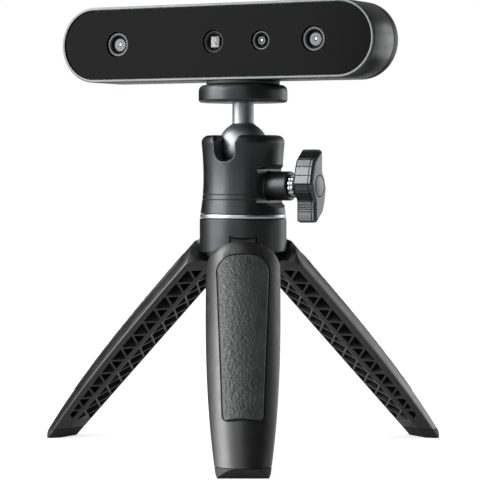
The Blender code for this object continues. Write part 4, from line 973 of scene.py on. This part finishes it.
def grip_mesh():
    """A grip pad: its outer face follows the leg, rolls over at the rim and carries the leather grain."""
    outline = np.array(grip_outline(0))
    top, bottom = -GRIP_TOP, -GRIP_BOTTOM
    share = np.linspace(0, 1, GRIP_ROWS + 1)
    heights = top + (bottom - top) * (share - GRIP_END_EASE * np.sin(math.tau * share))
    right = outline[outline[:, 0] > 0]
    right = right[np.argsort(right[:, 1])]
    widths = np.interp(heights, right[:, 1], right[:, 0])
    widths[0] = GRIP_TOP_WIDTH / 2 - GRIP_TOP_FILLET
    widths[-1] = GRIP_BOTTOM_WIDTH / 2 - GRIP_BOTTOM_FILLET
    side = widths[:, None] * np.linspace(-1, 1, GRIP_COLUMNS + 1)[None, :]
    height = np.repeat(heights[:, None], GRIP_COLUMNS + 1, axis=1)
    to_edge = np.minimum(widths[:, None] - np.abs(side), np.minimum(top - height, height - bottom))
    rim = np.clip(to_edge / GRIP_ROLL, 0, 1)
    roll = np.sqrt(np.maximum(1 - (1 - rim) ** 2, 0))
    radius = np.vectorize(handle_radius)(-height)
    proud = GRIP_PROUD - GRAIN_HEIGHT + leather(side, -height) * GRAIN_HEIGHT
    outer = radius + proud * roll - (1 - roll) * GRIP_ROLL / 2
    inner = radius - (GRIP_THICKNESS - GRIP_PROUD)
    points = [
        np.stack([np.sqrt(reach**2 - side**2) - PIN_CIRCLE, side, height], axis=-1).reshape(-1, 3)
        for reach in (outer, inner)
    ]
    index = np.arange(height.size).reshape(height.shape)
    quads = np.stack([index[:-1, :-1], index[1:, :-1], index[1:, 1:], index[:-1, 1:]], axis=-1).reshape(-1, 4)
    edge = np.concatenate([index[0, :], index[1:, -1], index[-1, -2::-1], index[-2:0:-1, 0]])
    after = np.roll(edge, -1)
    wall = np.stack([edge, after, after + height.size, edge + height.size], axis=-1)
    faces = np.concatenate([quads, quads[:, ::-1] + height.size, wall])
    return finished(shape_of(of_points(np.concatenate(points).tolist(), faces.tolist())))


def build_legs():
    parts = (
        ("ribbed_leg", "leg", leg_mesh(), "leg_body", 30),
        ("leather_grip", "grip_pad", grip_mesh(), "grip", 60),
        ("rubber_foot", "foot", foot_mesh(), "rubber", 40),
    )
    for name, azimuth in LEG_AZIMUTHS.items():
        place = shift(*joint_place(f"leg_{name}_fold")) @ rotation(azimuth - math.pi / 2, "Z") @ AS_CLOSED.inverted()
        for label, node, mesh, finish, angle in parts:
            piece(f"{label}_{name}", mesh.copy(), f"{name}_leg", finish, f"{node}_{name}", angle=angle, place=place)


# Hub and ring

def hub_field(x, y, z):
    body = both(np.hypot(x, y) - HUB_RADIUS, np.maximum(-HUB_DROP - z, z - HUB_RISE), HUB_EDGE)
    pocket_radius = TONGUE_RADIUS + TONGUE_TOP_GAP
    clear = TONGUE_RADIUS + TONGUE_SIDE_GAP
    corner = TONGUE_INNER / math.cos(OPEN_ANGLE / 2) + GAP
    for azimuth in LEG_AZIMUTHS.values():
        out = x * math.sin(azimuth) - y * math.cos(azimuth) - PIN_CIRCLE
        side = x * math.cos(azimuth) + y * math.sin(azimuth)
        facet = (z - out) * math.sin(OPEN_ANGLE) + LEG_TOP - GAP
        body = both(body, -facet, HUB_EDGE / 2)
        above = (out + z) * math.sin(OPEN_ANGLE) - clear
        notch = np.maximum(np.maximum(-out, z - out), above)
        hollow = np.minimum(np.minimum(np.hypot(out, z) - pocket_radius, z), notch)
        hollow = np.maximum(hollow, -corner - out)
        hollow = np.maximum(hollow, np.abs(side) - TONGUE_WIDTH / 2 - TONGUE_SIDE_GAP)
        body = both(body, -hollow, HUB_EDGE / 2)
    stud = np.maximum(np.hypot(x, y) - STUD_RADIUS - GAP, STUD_FLOOR - GAP - z)
    return np.maximum(body, -stud)


def build_hub():
    across = grid_lines(-HUB_RADIUS, HUB_RADIUS, HUB_PITCH)
    hub = sculpted(hub_field, (across, across, grid_lines(-HUB_DROP, HUB_RISE, HUB_PITCH)))
    piece("slotted_hub", hub, "hub", "anodised", "leg_hub", angle=50)
    base = HUB_RISE + GAP
    top = base + RING_HEIGHT
    corners = [(RING_BORE, base, 0), (RING_RADIUS, base, EDGE), (RING_RADIUS, top, EDGE), (RING_BORE, top, 0)]
    piece("bright_ring", lathed(corners, 240), "hub", "bright", "trim_ring")


# Ball head

def housing_radius(height):
    below = (HOUSING_WAIST - height) / HOUSING_WAIST
    above = (height - HOUSING_WAIST) / (HOUSING_HEIGHT - HOUSING_SHOULDER - HOUSING_WAIST)
    lower = (HOUSING_BASE_RADIUS - HOUSING_WAIST_RADIUS) * below**2
    upper = (HOUSING_TOP_RADIUS - HOUSING_WAIST_RADIUS) * np.minimum(above, HOUSING_FLARE_END) ** 2
    return HOUSING_WAIST_RADIUS + np.where(height < HOUSING_WAIST, lower, upper)


def housing_field(x, y, z):
    radius = np.hypot(x, y)
    body = both(radius - housing_radius(z), z - HOUSING_HEIGHT, HOUSING_SHOULDER)
    for height in GROOVE_HEIGHTS:
        groove = np.hypot(radius - housing_radius(height), z - height) - GROOVE_RADIUS
        body = both(body, -groove, GROOVE_SOFT)
    out, from_clamp = x - CLAMP_FLAT_PLACE, np.hypot(y, z - CLAMP_HEIGHT)
    ledge = (np.abs(z - CLAMP_HEIGHT) - CLAMP_FLAT_HALF) * math.cos(CLAMP_FLAT_DRAFT) - out * math.sin(CLAMP_FLAT_DRAFT)
    body = both(body, -both(-out, ledge, EDGE), CLAMP_FLAT_EDGE)
    boss = both(from_clamp - CLAMP_BOSS_RADIUS, x - CLAMP_BOSS_REACH, CLAMP_BOSS_EDGE)
    body = either(body, np.maximum(boss, HOUSING_BORE - x), CLAMP_BOSS_FILLET)
    body = both(body, -z, HOUSING_EDGE)
    flare = np.clip((z - HOUSING_HEIGHT + 2 * SLOT_FLARE) / SLOT_FLARE, 0, 1)
    slot = both(np.abs(x) - SLOT_HALF, SLOT_FLOOR - z, SLOT_FILLET)
    slot = np.maximum(slot, y + BALL_RADIUS / 2)
    body = both(body, -slot, SLOT_RIM + (SLOT_FLARE - SLOT_RIM) * flare * flare)
    body = both(body, BALL_RADIUS + GAP - np.hypot(radius, z - BALL_HEIGHT), EDGE)
    bore = np.maximum(radius - HOUSING_BORE, z - BALL_HEIGHT)
    screw = np.maximum(from_clamp - CLAMP_SCREW_RADIUS - GAP, -x)
    return np.maximum(body, -np.minimum(bore, screw))


def build_housing():
    axes = (
        grid_lines(-HOUSING_BASE_RADIUS, CLAMP_BOSS_REACH),
        grid_lines(-HOUSING_BASE_RADIUS, HOUSING_BASE_RADIUS),
        grid_lines(0, HOUSING_HEIGHT, fine=GROOVE_HEIGHTS),
    )
    piece("slotted_ball_housing", sculpted(housing_field, axes), "head", "anodised", "ball_housing", angle=50)


def knob_outline(inset, groove):
    """The outline of the knob's two wings in (y, z), drawn in by an inset, with grooves of a depth across its wall."""
    corners = [*KNOB_WING, *((-y, -z, fillet) for y, z, fillet in KNOB_WING)]
    drawn = []
    for before, (y, z, fillet), after in zip(corners[-1:] + corners[:-1], corners, corners[1:] + corners[:1]):
        arriving = math.atan2(z - before[1], y - before[0])
        leaving = math.atan2(after[1] - z, after[0] - y)
        bend = (leaving - arriving + math.pi) % math.tau - math.pi
        inward = arriving + bend / 2 + math.pi / 2
        reach = inset / math.cos(bend / 2)
        fillet = max(fillet - math.copysign(inset, bend), FINE_EDGE)
        drawn.append((y + reach * math.cos(inward), z + reach * math.sin(inward), fillet))
    steps = FILLET_STEPS
    arcs = [Vector(point) for point in rounded(drawn)]
    outline = []
    for index in range(len(corners)):
        first = index * (steps + 1)
        outline += arcs[first : first + steps + 1]
        start, end = arcs[first + steps], arcs[(first + steps + 1) % len(arcs)]
        along = (end - start).normalized()
        inward = Vector((-along.y, along.x))
        for share in KNOB_GROOVES.get(index % len(KNOB_WING), ()):
            middle = start.lerp(end, share)
            width = along * KNOB_GROOVE * KNOB_GROOVE_HALF_SHARE
            outline += [middle - width, middle + inward * groove, middle + width]
    return outline


def build_knob():
    front, chamfer = KNOB_BACK + KNOB_DEPTH, KNOB_CHAMFER
    band = front - KNOB_BAND_BEHIND * chamfer
    profile = [(KNOB_BACK + along * chamfer, inset * chamfer) for along, inset in KNOB_BACK_ROLL]
    profile += [(band + along * KNOB_BAND, inset * KNOB_BAND) for along, inset in KNOB_BAND_STEPS]
    profile.append((band + KNOB_BAND_END[0] * KNOB_BAND, KNOB_BAND_END[1] * chamfer))
    profile += [(front + along * chamfer, inset * chamfer) for along, inset in KNOB_FRONT_ROLL]
    loops = []
    for along, inset in profile:
        groove = KNOB_GROOVE if inset < KNOB_BAND else 0
        loops.append([(along, y, z) for y, z in knob_outline(inset, groove)])
    neck_start = CLAMP_BOSS_REACH + COLLAR_LENGTH + 2 * GAP
    recess = front - CAP_DEPTH
    knob = cut(
        fused(lofted(loops), rod(KNOB_NECK_RADIUS, neck_start, KNOB_BACK + KNOB_DEPTH / 2, "X")),
        rod(CLAMP_SCREW_RADIUS + GAP, 0, recess - KNOB_FLOOR + GAP, "X"),
        rod(CAP_RADIUS + GAP, recess, front + OVERRUN, "X", RIM_SIDES),
    )
    piece("winged_knob", knob, "clamp", "knob", "clamp_knob", angle=20)
    back = recess + GAP
    cap = lathed([(0, back, 0), (CAP_RADIUS, back, 0), (CAP_RADIUS, front, EDGE), (0, front, 0)], RIM_SIDES, False)
    piece("round_cap", moved(cap, rotation(math.pi / 2, "Y")), "clamp", "knob", "knob_cap")


def build_collar():
    start = CLAMP_BOSS_REACH + GAP
    end = start + COLLAR_LENGTH
    middle = (start + end) / 2
    rings = [
        (start, COLLAR_CHAMFER),
        (start + COLLAR_FLUTE, COLLAR_STEP),
        (middle - EDGE, 0),
        (middle, EDGE),
        (middle + EDGE, 0),
        (end - COLLAR_FLUTE, COLLAR_STEP),
        (end, COLLAR_CHAMFER),
    ]
    loops = []
    for along, inset in rings:
        loop = []
        for angle in np.linspace(0, math.tau, COLLAR_POINTS, endpoint=False):
            flute = abs(math.sin(COLLAR_FLUTES / 2 * angle)) ** COLLAR_FLUTE_POWER
            reach = COLLAR_RADIUS - inset - COLLAR_FLUTE * (1 - flute)
            loop.append((along, reach * math.cos(angle), reach * math.sin(angle)))
        loops.append(loop)
    collar = cut(lofted(loops), rod(CLAMP_SCREW_RADIUS + GAP, 0, end + OVERRUN, "X"))
    piece("fluted_collar", collar, "clamp", "bright", "clamp_collar")


def build_seat():
    """The cup that presses up against the ball."""
    cavity, outer = BALL_RADIUS + GAP, HOUSING_BORE - GAP
    floor, rim = BALL_HEIGHT - BALL_RADIUS - GAP - SEAT_WALL, BALL_HEIGHT - SEAT_RIM_DROP
    cup = arc((0, BALL_HEIGHT), cavity, -math.asin(SEAT_RIM_DROP / cavity), -math.pi / 2, 40)
    cup[-1] = (0, cup[-1][1])
    outside = rounded([(0, floor, 0), (outer, floor, EDGE), (outer, rim, EDGE), (*cup[0], 0)], False, 3)
    piece("ball_cup", turned(outside[:-1] + cup), "seat", "nylon", "ball_seat")


def build_ball():
    sphere = arc((0, 0), BALL_RADIUS, -math.pi / 2, math.acos(STEM_RADIUS / BALL_RADIUS), 64)
    sphere[0] = (0, -BALL_RADIUS)
    root = (STEM_RADIUS + STEM_ROOT, sphere[-1][1] + STEM_ROOT_RISE)
    spigot = STEM_TOP + SPIGOT_HEIGHT
    section = sphere[:-3] + arc(root, STEM_ROOT, math.pi * 1.25, math.pi, 5)
    section += [(STEM_RADIUS, STEM_TOP), (SPIGOT_RADIUS, STEM_TOP), (SPIGOT_RADIUS, spigot), (0, spigot)]
    piece("ball_and_stem", turned(section), "ball", "ball", "ball_stem")


def build_platform():
    base = STEM_TOP + GAP
    top = base + DISC_HEIGHT
    socket = STEM_TOP + SPIGOT_HEIGHT + GAP
    corners = [
        (SPIGOT_RADIUS + GAP, base, 0),
        (DISC_RADIUS, base, DISC_FOOT_FILLET),
        (DISC_RADIUS, top, DISC_TOP_FILLET),
        (FRICTION_RADIUS + HOUSING_EDGE, top, 0),
        (FRICTION_RADIUS + HOUSING_EDGE, top - PAD_SEAT, 0),
        (SCREW_HEAD_RADIUS + GAP, top - PAD_SEAT, 0),
        (SCREW_HEAD_RADIUS + GAP, socket, 0),
        (SPIGOT_RADIUS + GAP, socket, 0),
    ]
    piece("platform_plate", lathed(corners, 200, steps=10), "ball", "anodised", "platform_disc")
    base = top + GAP
    top = base + FRICTION_HEIGHT
    bore = SCREW_RADIUS + GAP
    corners = [(bore, base, 0), (FRICTION_RADIUS, base, EDGE), (FRICTION_RADIUS, top, PAD_EDGE)]
    place = FRICTION_RADIUS - PAD_MARGIN
    while place > bore + PAD_MARGIN:
        corners += [(place, top, 0), (place - EDGE, top - EDGE, 0), (place - 2 * EDGE, top, 0)]
        place -= PAD_PITCH
    corners.append((bore, top, 0))
    piece("ringed_friction_pad", lathed(corners, 128), "ball", "rubber", "friction_pad")


# Scanner head

def capsule(inset):
    """Outline of the scanner's front in (x, z) about its middle, drawn in by an inset."""
    radius = HALF_HEIGHT - inset
    middle = SCANNER_WIDTH / 2 - HALF_HEIGHT
    right = arc((middle, 0), radius, -math.pi / 2, math.pi / 2, CAPSULE_STEPS)
    left = arc((-middle, 0), radius, math.pi / 2, 3 * math.pi / 2, CAPSULE_STEPS)
    return right + left


def capsule_body(profile, ring=False):
    """A body whose section across the rim is a line of (inset, depth) points."""
    return lofted([[(x, depth, z) for x, z in capsule(inset)] for inset, depth in profile], ring)


def build_sleeve():
    profile = [(0, SLEEVE_FRONT, EDGE), (0, SLEEVE_BACK, EDGE), (SLEEVE_WALL, SLEEVE_BACK, 0)]
    sleeve = capsule_body(rounded([*profile, (SLEEVE_WALL, SLEEVE_FRONT, 0)], steps=3), ring=True)
    floor = -HALF_HEIGHT
    boss_top = floor + INSERT_HEIGHT + GAP
    boss_radius = INSERT_RADIUS + GAP + INSERT_BOSS_WALL
    middle = (SCANNER_OFFSET, 0)
    sleeve = fused(sleeve, rod(boss_radius, floor + SLEEVE_WALL / 2, boss_top, "Z", BORE_SIDES, middle))
    for place in POST_CORNERS:
        sleeve = fused(sleeve, rod(POST_RADIUS, SLEEVE_FRONT + SLEEVE_WALL, COVER_INSIDE - GAP, "Y", ROD_SIDES, place))
    inside_cover = [
        (-SLEEVE_WALL, SLEEVE_BACK + GAP / 2),
        (-SLEEVE_WALL, SCANNER_REAR),
        (COVER_WALL + GAP, SCANNER_REAR),
        (COVER_WALL + GAP, SLEEVE_BACK + GAP / 2),
    ]
    bore = rod(INSERT_RADIUS + GAP, floor - OVERRUN, boss_top + OVERRUN, "Z", BORE_SIDES, middle)
    sleeve = cut(sleeve, capsule_body(inside_cover, True), bore, *screw_bores(SLEEVE_BACK - COVER_SCREW_LENGTH))
    piece("shell_sleeve", sleeve, "scanner", "shell", "scanner_housing")


def screw_bores(start):
    """A bore for each cover screw, from a depth to the scanner's rear."""
    end = SCANNER_REAR + OVERRUN
    return [rod(COVER_SCREW_RADIUS + GAP, start, end, "Y", 24, place) for place in POST_CORNERS]


def build_cover():
    front, back = SLEEVE_BACK + GAP, SCANNER_REAR + OVERRUN
    rim = [(COVER_WALL, front, 0), (0, front, EDGE), (0, SCANNER_REAR, COVER_FILLET), (HALF_HEIGHT, SCANNER_REAR, 0)]
    profile = [(COVER_WALL, COVER_INSIDE), (COVER_WALL, front), *rounded(rim, False, 8)[1:-1]]
    seat = SCANNER_REAR - COVER_HEAD_SUNK - COVER_HEAD_HEIGHT - GAP
    cover = cut(
        capsule_body([*profile, (COVER_FILLET + COVER_RING, SCANNER_REAR)]),
        rod(BUTTON_RADIUS + GAP, front, back, "Y", RIM_SIDES),
        rod(LIGHT_RADIUS + GAP, front, back, "Y", BORE_SIDES, (0, LIGHT_RISE)),
        extruded(socket_outline(GAP), front, back, "Y"),
        *screw_bores(front),
        *(rod(COVER_HEAD_RADIUS + GAP, seat, back, "Y", BORE_SIDES, place) for place in POST_CORNERS),
    )
    cover = beveled(cover, COVER_EDGE, lambda edge: min(vert.co.y for vert in edge.verts) > SCANNER_REAR - WELD)
    piece("dished_cover", cover, "scanner", "cover", "rear_cover", angle=15)


def build_bezel():
    profile = [
        (BEZEL_NECK, BEZEL_DEPTH, 0),
        (BEZEL_WIDTH, BEZEL_DEPTH, BEZEL_EDGE),
        (BEZEL_WIDTH, 0, BEZEL_INNER_FILLET),
        (0, 0, BEZEL_OUTER_FILLET),
        (0, BEZEL_LIP, BEZEL_EDGE),
        (BEZEL_NECK, BEZEL_LIP + BEZEL_NECK / 2, 0),
    ]
    bezel = capsule_body([(inset, depth - SCANNER_FRONT) for inset, depth in rounded(profile, steps=4)], True)
    piece("rounded_bezel", bezel, "scanner", "bezel", "front_bezel", "bright")


def socket_outline(margin):
    height = SOCKET_HEIGHT + 2 * margin
    fillet = height / 2 - margin / 2 - SOCKET_ROUND_GAP
    return rectangle(SOCKET_WIDTH + 2 * margin, height, fillet, (SOCKET_PLACE, 0))


APERTURES = {
    "left_camera": (-CAMERA_SPREAD, CAMERA_RADIUS),
    "right_camera": (CAMERA_SPREAD, CAMERA_RADIUS),
    "color_camera": (COLOR_CAMERA_OFFSET, COLOR_CAMERA_RADIUS),
    "projector": (0, PROJECTOR_RADIUS),
}


def facing(mesh, sign, place):
    """Turns a body made along +Z to face along Y, to the rear (1) or the front (-1), at an (x, z) place."""
    return moved(mesh, shift(x=place[0], z=place[1]) @ rotation(-sign * math.pi / 2, "X"))


def build_panel():
    front = PANEL_RECESS - SCANNER_FRONT
    inset = BEZEL_WIDTH + GAP
    outside = [(inset, front + PANEL_THICKNESS - GAP), (inset, front + PANEL_EDGE), (inset + PANEL_EDGE, front)]
    start, end = front - OVERRUN, front + OVERRUN
    holes = [rod(radius, start, end, "Y", RIM_SIDES, (place, 0)) for place, radius in APERTURES.values()]
    panel = cut(capsule_body(outside), *holes)
    panel = beveled(panel, APERTURE_EDGE, lambda edge: max(vert.co.y for vert in edge.verts) < front + WELD)
    piece("front_glass", panel, "scanner", "panel", "front_panel", angle=5)


# What is seen in each aperture: its radius, its depth behind the barrel's front, and the radius of its pupil
ELEMENTS = {
    "left_camera": (0.0033, 0.0019, 0.0013),
    "right_camera": (0.0033, 0.0019, 0.0013),
    "color_camera": (0.0021, 0.0004, 0.0011),
}
LIP_FILLET = 0.0004
LIP_WIDTH = 0.0002
LIP_DEPTH = 0.0006
CONE_LIP = 0.0005
DISH_RISE = 0.0004
DISH_SLOPE = 0.00025
ELEMENT_RISE = 0.00015
ELEMENT_FILLET = 0.0006
PUPIL_SHARE = 0.96
PUPIL_BASE = 0.00038
PUPIL_RISE = 0.0003
# The glint is a painted highlight: a small glowing dome set beside the middle of each camera's pupil
GLINT_RADIUS = 0.0006
GLINT_BASE = 0.0001
GLINT_SUNK = 0.00002
GLINT_RISE = 0.00008
GLINT_ASIDE = 0.00015
DIE_SIZE = (0.0046, 0.0054)
DIE_THICKNESS = 0.0006
DIE_RECESS = 0.0012


def dome(radius, level, base, foot, rise, steps):
    """Section of a shallow dome: its base and foot lie below a level, and it rises over its foot."""
    foot, angles = level - foot, np.linspace(0, math.pi / 2, steps)
    arch = [(radius * math.cos(angle), foot + rise * math.sin(angle)) for angle in angles]
    return [(0, level - base), (radius, level - base), *arch[:-1], (0, foot + rise)]


def build_optics():
    front = SCANNER_FRONT - PANEL_RECESS - BARREL_RECESS
    back = -BRACKET_FRONT + GAP
    for name, (place, radius) in APERTURES.items():
        camera = name in ELEMENTS

        def part(label, mesh, finish, node=None, slot="lens", aside=0):
            mesh = facing(mesh, -1, (place + aside, aside))
            piece(f"{name}_{label}", mesh, "scanner", finish, node, slot)

        outer, wall = radius - GAP, radius * BARREL_WALL_SHARE
        bore = outer - wall
        floor = front - LENS_RECESS - LENS_THICKNESS
        tube = [(bore, floor - GAP, 0), (bore - wall, floor - GAP, 0), (bore - wall, back, 0), (outer, back, 0)]
        if camera:
            lip = [(outer, front, LIP_FILLET), (bore + LIP_WIDTH, front, EDGE), (bore, front - LIP_DEPTH, 0)]
        else:
            lip = [(outer, front, LIP_WIDTH), (outer - CONE_LIP, front, FINE_EDGE), (bore, front - LENS_RECESS, 0)]
        finish = "barrel" if camera else "projector_barrel"
        part("ring", lathed(tube + lip, RIM_SIDES, steps=4), finish, f"{name}_barrel", "nylon")
        rim, lip, dish = bore - GAP, front - LENS_RECESS - DISH_RISE, floor + DISH_RISE
        section = [(0, floor, 0), (rim, floor, 0), (rim, lip, FINE_EDGE), (rim - DISH_SLOPE, lip, FINE_EDGE)]
        section += [(rim - 2 * DISH_SLOPE, dish, FINE_EDGE), (0, dish, 0)]
        part("dish", lathed(section, RIM_SIDES, False), "lens", f"{name}_lens")
        if not camera:
            continue
        reach, depth, pupil = ELEMENTS[name]
        top, base = front - depth, dish + FINE_EDGE
        section = [(0, base, 0), (reach, base, 0), (reach, top - ELEMENT_RISE, LIP_FILLET)]
        section += [(pupil + DISH_RISE, top, ELEMENT_FILLET), (pupil, top - DISH_RISE, 0), (0, top - DISH_RISE, 0)]
        part("inner_element", lathed(section, RIM_SIDES, False, 6), "element")
        part("pupil", turned(dome(pupil * PUPIL_SHARE, top, PUPIL_BASE, PUPIL_RISE, PUPIL_RISE, 13), 64), "lens")
        # The glint below is a painted highlight: it glows in place of the lens's reflection of a lamp
        glint = dome(GLINT_RADIUS, top, GLINT_BASE, GLINT_SUNK, GLINT_RISE, 7)
        part("glint", turned(glint, 32), "glint", slot="light", aside=GLINT_ASIDE)

    top = front - DIE_RECESS
    die = facing(extruded(rectangle(*DIE_SIZE, EDGE), top - DIE_THICKNESS, top), -1, (0, 0))
    piece("projector_die", beveled(die, FINE_EDGE), "scanner", "die", slot="light")


def build_screws():
    seat = SCANNER_REAR - COVER_HEAD_SUNK
    head = seat - COVER_HEAD_HEIGHT
    tip = SLEEVE_BACK - COVER_SCREW_LENGTH + GAP
    section = [
        (0, tip, 0),
        (COVER_SCREW_RADIUS * SCREW_TIP_SHARE, tip, 0),
        (COVER_SCREW_RADIUS, tip + SCREW_TIP, 0),
        (COVER_SCREW_RADIUS, head, 0),
        (COVER_HEAD_RADIUS, head, 0),
        (COVER_HEAD_RADIUS, seat, EDGE),
        (0, seat, 0),
    ]
    hexagon = arc((0, 0), HEXAGON_RADIUS, 0, math.tau, 6)[:-1]
    for index, place in enumerate(POST_CORNERS, 1):
        screw = cut(lathed(section, BORE_SIDES, False), extruded(hexagon, seat - HEXAGON_DEPTH, seat + OVERRUN))
        piece(f"socket_screw_{index}", facing(screw, 1, place), "scanner", "steel", f"cover_screw_{index}")


def build_controls():
    inner, rear = COVER_INSIDE - GAP, SCANNER_REAR + BUTTON_PROUD
    flange = inner - BUTTON_FLANGE_DEPTH
    section = [
        (0, flange, 0),
        (BUTTON_RADIUS + BUTTON_FLANGE, flange, 0),
        (BUTTON_RADIUS + BUTTON_FLANGE, inner, COVER_EDGE),
        (BUTTON_RADIUS, inner, 0),
        (BUTTON_RADIUS, rear, BUTTON_EDGE),
        (BUTTON_RADIUS - BUTTON_LIP, rear, BUTTON_LIP_FILLET),
        (BUTTON_GROOVE_RADIUS + BUTTON_GROOVE, rear - BUTTON_GROOVE, 0),
        (BUTTON_GROOVE_RADIUS, rear - 2 * BUTTON_GROOVE, 0),
        (BUTTON_GROOVE_RADIUS - BUTTON_GROOVE, rear - BUTTON_INNER_SUNK, 0),
        (0, rear - BUTTON_DISH, 0),
    ]
    button = facing(lathed(section, 128, False, 4), 1, (0, 0))
    piece("dished_button", button, "button", "nylon", "scan_button")

    behind, top = BOARD_BACK + GAP, SCANNER_REAR - LIGHT_SUNK
    section = [(0, behind, 0), (LIGHT_RADIUS, behind, 0), (LIGHT_RADIUS, top, LIGHT_DOME), (0, top, 0)]
    piece("domed_light", facing(lathed(section, 64, False, 6), 1, (0, LIGHT_RISE)), "scanner", "light", "status_light")

    mouth = SCANNER_REAR - SOCKET_SUNK
    floor, place = mouth - SOCKET_DEPTH, (SOCKET_PLACE, 0)
    width, height = SOCKET_WIDTH - SOCKET_MOUTH, SOCKET_HEIGHT - SOCKET_MOUTH
    hollow = extruded(rectangle(width, height, height / 2 - SOCKET_ROUND_GAP, place), floor, mouth + OVERRUN, "Y")
    socket = cut(extruded(socket_outline(0), behind, mouth, "Y"), hollow)
    socket = beveled(socket, SOCKET_EDGE, lambda edge: min(vert.co.y for vert in edge.verts) > mouth - WELD)
    piece("rolled_usb_shell", socket, "scanner", "steel", "usb_socket")
    tongue = extruded(rectangle(*USB_TONGUE, place), floor - FINE_EDGE, mouth - USB_TONGUE_SUNK, "Y")
    piece("usb_tongue", beveled(tongue, FINE_EDGE), "scanner", "nylon")


def clad_nodes():
    """The nodes that keep their own meshes get the finish of their slot."""
    slots = {entry["node"]: entry["material_slot"] for entry in frame["record"]["subparts"]}
    for name, obj in frame["nodes"].items():
        obj.data.materials.clear()
        obj.data.materials.append(FINISHES[slots[name]])


# Stage

VIEW_AZIMUTH = math.radians(28)
CAMERA_DISTANCE = 1.13
CAMERA_HEIGHT = 0.139
CAMERA_YAW = math.radians(0.079)
CAMERA_PITCH = math.radians(1.739)
CAMERA_LENS = 169.5
AIM_HEIGHT = 0.12
WORLD_LEVEL = 0.34
FLOOR_SIZE = 12
FLOOR_COLOR = (0.86, 0.86, 0.86)
FLOOR_GLOW = 0.66


def toward(azimuth, distance, height):
    """A place round the tripod's axis, by its azimuth from the camera's direction."""
    axis, angle = joint_place("head_pan"), VIEW_AZIMUTH + azimuth
    return Vector((axis.x + distance * math.sin(angle), axis.y - distance * math.cos(angle), height))


def aimed(place):
    """The turn that faces a lamp or card at the model's middle."""
    return (toward(0, 0, AIM_HEIGHT) - place).to_track_quat("-Z", "Y").to_matrix().to_4x4()


def lamp(name, azimuth, distance, height, width, tall, power, diffuse=True, glossy=True):
    data = bpy.data.lights.new(name, "AREA")
    data.shape = "RECTANGLE"
    data.size = width
    data.size_y = tall
    data.energy = power
    obj = in_scene(name, data)
    place = toward(math.radians(azimuth), distance, height)
    obj.matrix_world = shift(*place) @ aimed(place)
    obj.visible_camera = False
    obj.visible_diffuse = diffuse
    obj.visible_glossy = glossy


def sheet(name, width, tall):
    """A flat piece of the stage with a material of its own."""
    mesh = of_points([(x, y, 0) for x, y in rectangle(width, tall, 0)], [(0, 1, 2, 3)], name)
    material, tree = new_material(name)
    mesh.materials.append(material)
    obj = in_scene(name, mesh)
    return obj, tree


def dark_card(name, azimuth, distance, height, width, tall, level=0.0, flat=False):
    """A dark flag that only reflections see."""
    obj, tree = sheet(name, width, tall)
    tree.nodes.clear()
    glow = made(tree, "Emission", "Emission", Color=(level, level, level, 1))
    feed(tree, tree.nodes.new("ShaderNodeOutputMaterial"), Surface=glow)
    azimuth = math.radians(azimuth)
    place = toward(azimuth, distance, height)
    obj.matrix_world = shift(*place) @ (rotation(VIEW_AZIMUTH + azimuth, "Z") if flat else aimed(place))
    for ray in ("camera", "diffuse", "transmission", "volume_scatter", "shadow"):
        setattr(obj, f"visible_{ray}", False)


def seen_rays(tree):
    """One for the rays that see the background: from the camera, a reflection or through glass."""
    total = made(tree, "LightPath", "Is Camera Ray")
    path = total.node
    for kind in ("Is Glossy Ray", "Is Transmission Ray"):
        add = tree.nodes.new("ShaderNodeMath")
        add.operation = "MAXIMUM"
        tree.links.new(total, add.inputs[0])
        tree.links.new(path.outputs[kind], add.inputs[1])
        total = add.outputs[0]
    return total


def build_stage():
    scene = bpy.context.scene
    scene.world = bpy.data.worlds.new("studio")
    scene.world.use_nodes = True
    tree = scene.world.node_tree
    strength = ranged(tree, seen_rays(tree), WORLD_LEVEL, 1.0)
    feed(tree, tree.nodes["Background"], Color=(1, 1, 1, 1), Strength=strength)

    _, tree = sheet("floor", FLOOR_SIZE, FLOOR_SIZE)
    glow = ranged(tree, made(tree, "LightPath", "Is Camera Ray"), 0.0, FLOOR_GLOW)
    shader = tree.nodes["Principled BSDF"]
    feed(tree, shader, Base_Color=(*FLOOR_COLOR, 1), Roughness=0.9, Emission_Color=(1, 1, 1, 1), Emission_Strength=glow)

    # Azimuth from the camera in degrees, distance, height, width, tallness, and a lamp's watts or a card's level
    lamp("key_reflection", -75, 1.6, 0.6, 1.5, 1.8, 50, diffuse=False)
    lamp("leg_reflection", -113, 1.0, 1.12, 0.8, 0.7, 9, diffuse=False)
    lamp("end_reflection", 127, 0.6, 0.2, 0.25, 0.38, 0.45, diffuse=False)
    lamp("key_softbox", -58, 1.6, 0.7, 1.5, 1.5, 14, glossy=False)
    lamp("top_fill", 20, 1.5, 1.6, 1.6, 1.6, 9, glossy=False)
    lamp("rear_fill", 160, 1.6, 1.2, 1.6, 1.2, 6, glossy=False)
    dark_card("right_flag", 40, 1.0, 0.3, 1.5, 1.6)
    dark_card("rear_flag", -145, 1.0, 0.35, 1.1, 1.2)
    dark_card("rear_right_flag", 142, 1.25, 0.75, 2.4, 0.9, 0.18)
    dark_card("floor_flag", 148, 0.42, 0.003, 0.5, 0.36, flat=True)
    dark_card("top_flag", 80, 0.75, 1.25, 1.9, 1.9)

    data = bpy.data.cameras.new("view")
    data.lens = CAMERA_LENS
    data.sensor_width = 36
    data.clip_end = 20
    scene.camera = in_scene("view", data)
    scene.camera.matrix_world = (
        shift(*toward(0, CAMERA_DISTANCE, CAMERA_HEIGHT))
        @ rotation(VIEW_AZIMUTH + CAMERA_YAW, "Z")
        @ rotation(math.pi / 2 - CAMERA_PITCH, "X")
    )
    scene.view_settings.view_transform = "Standard"


clad_nodes()
build_legs()
build_hub()
build_housing()
build_knob()
build_collar()
build_seat()
build_ball()
build_platform()
build_sleeve()
build_cover()
build_bezel()
build_panel()
build_optics()
build_screws()
build_controls()
build_stage()
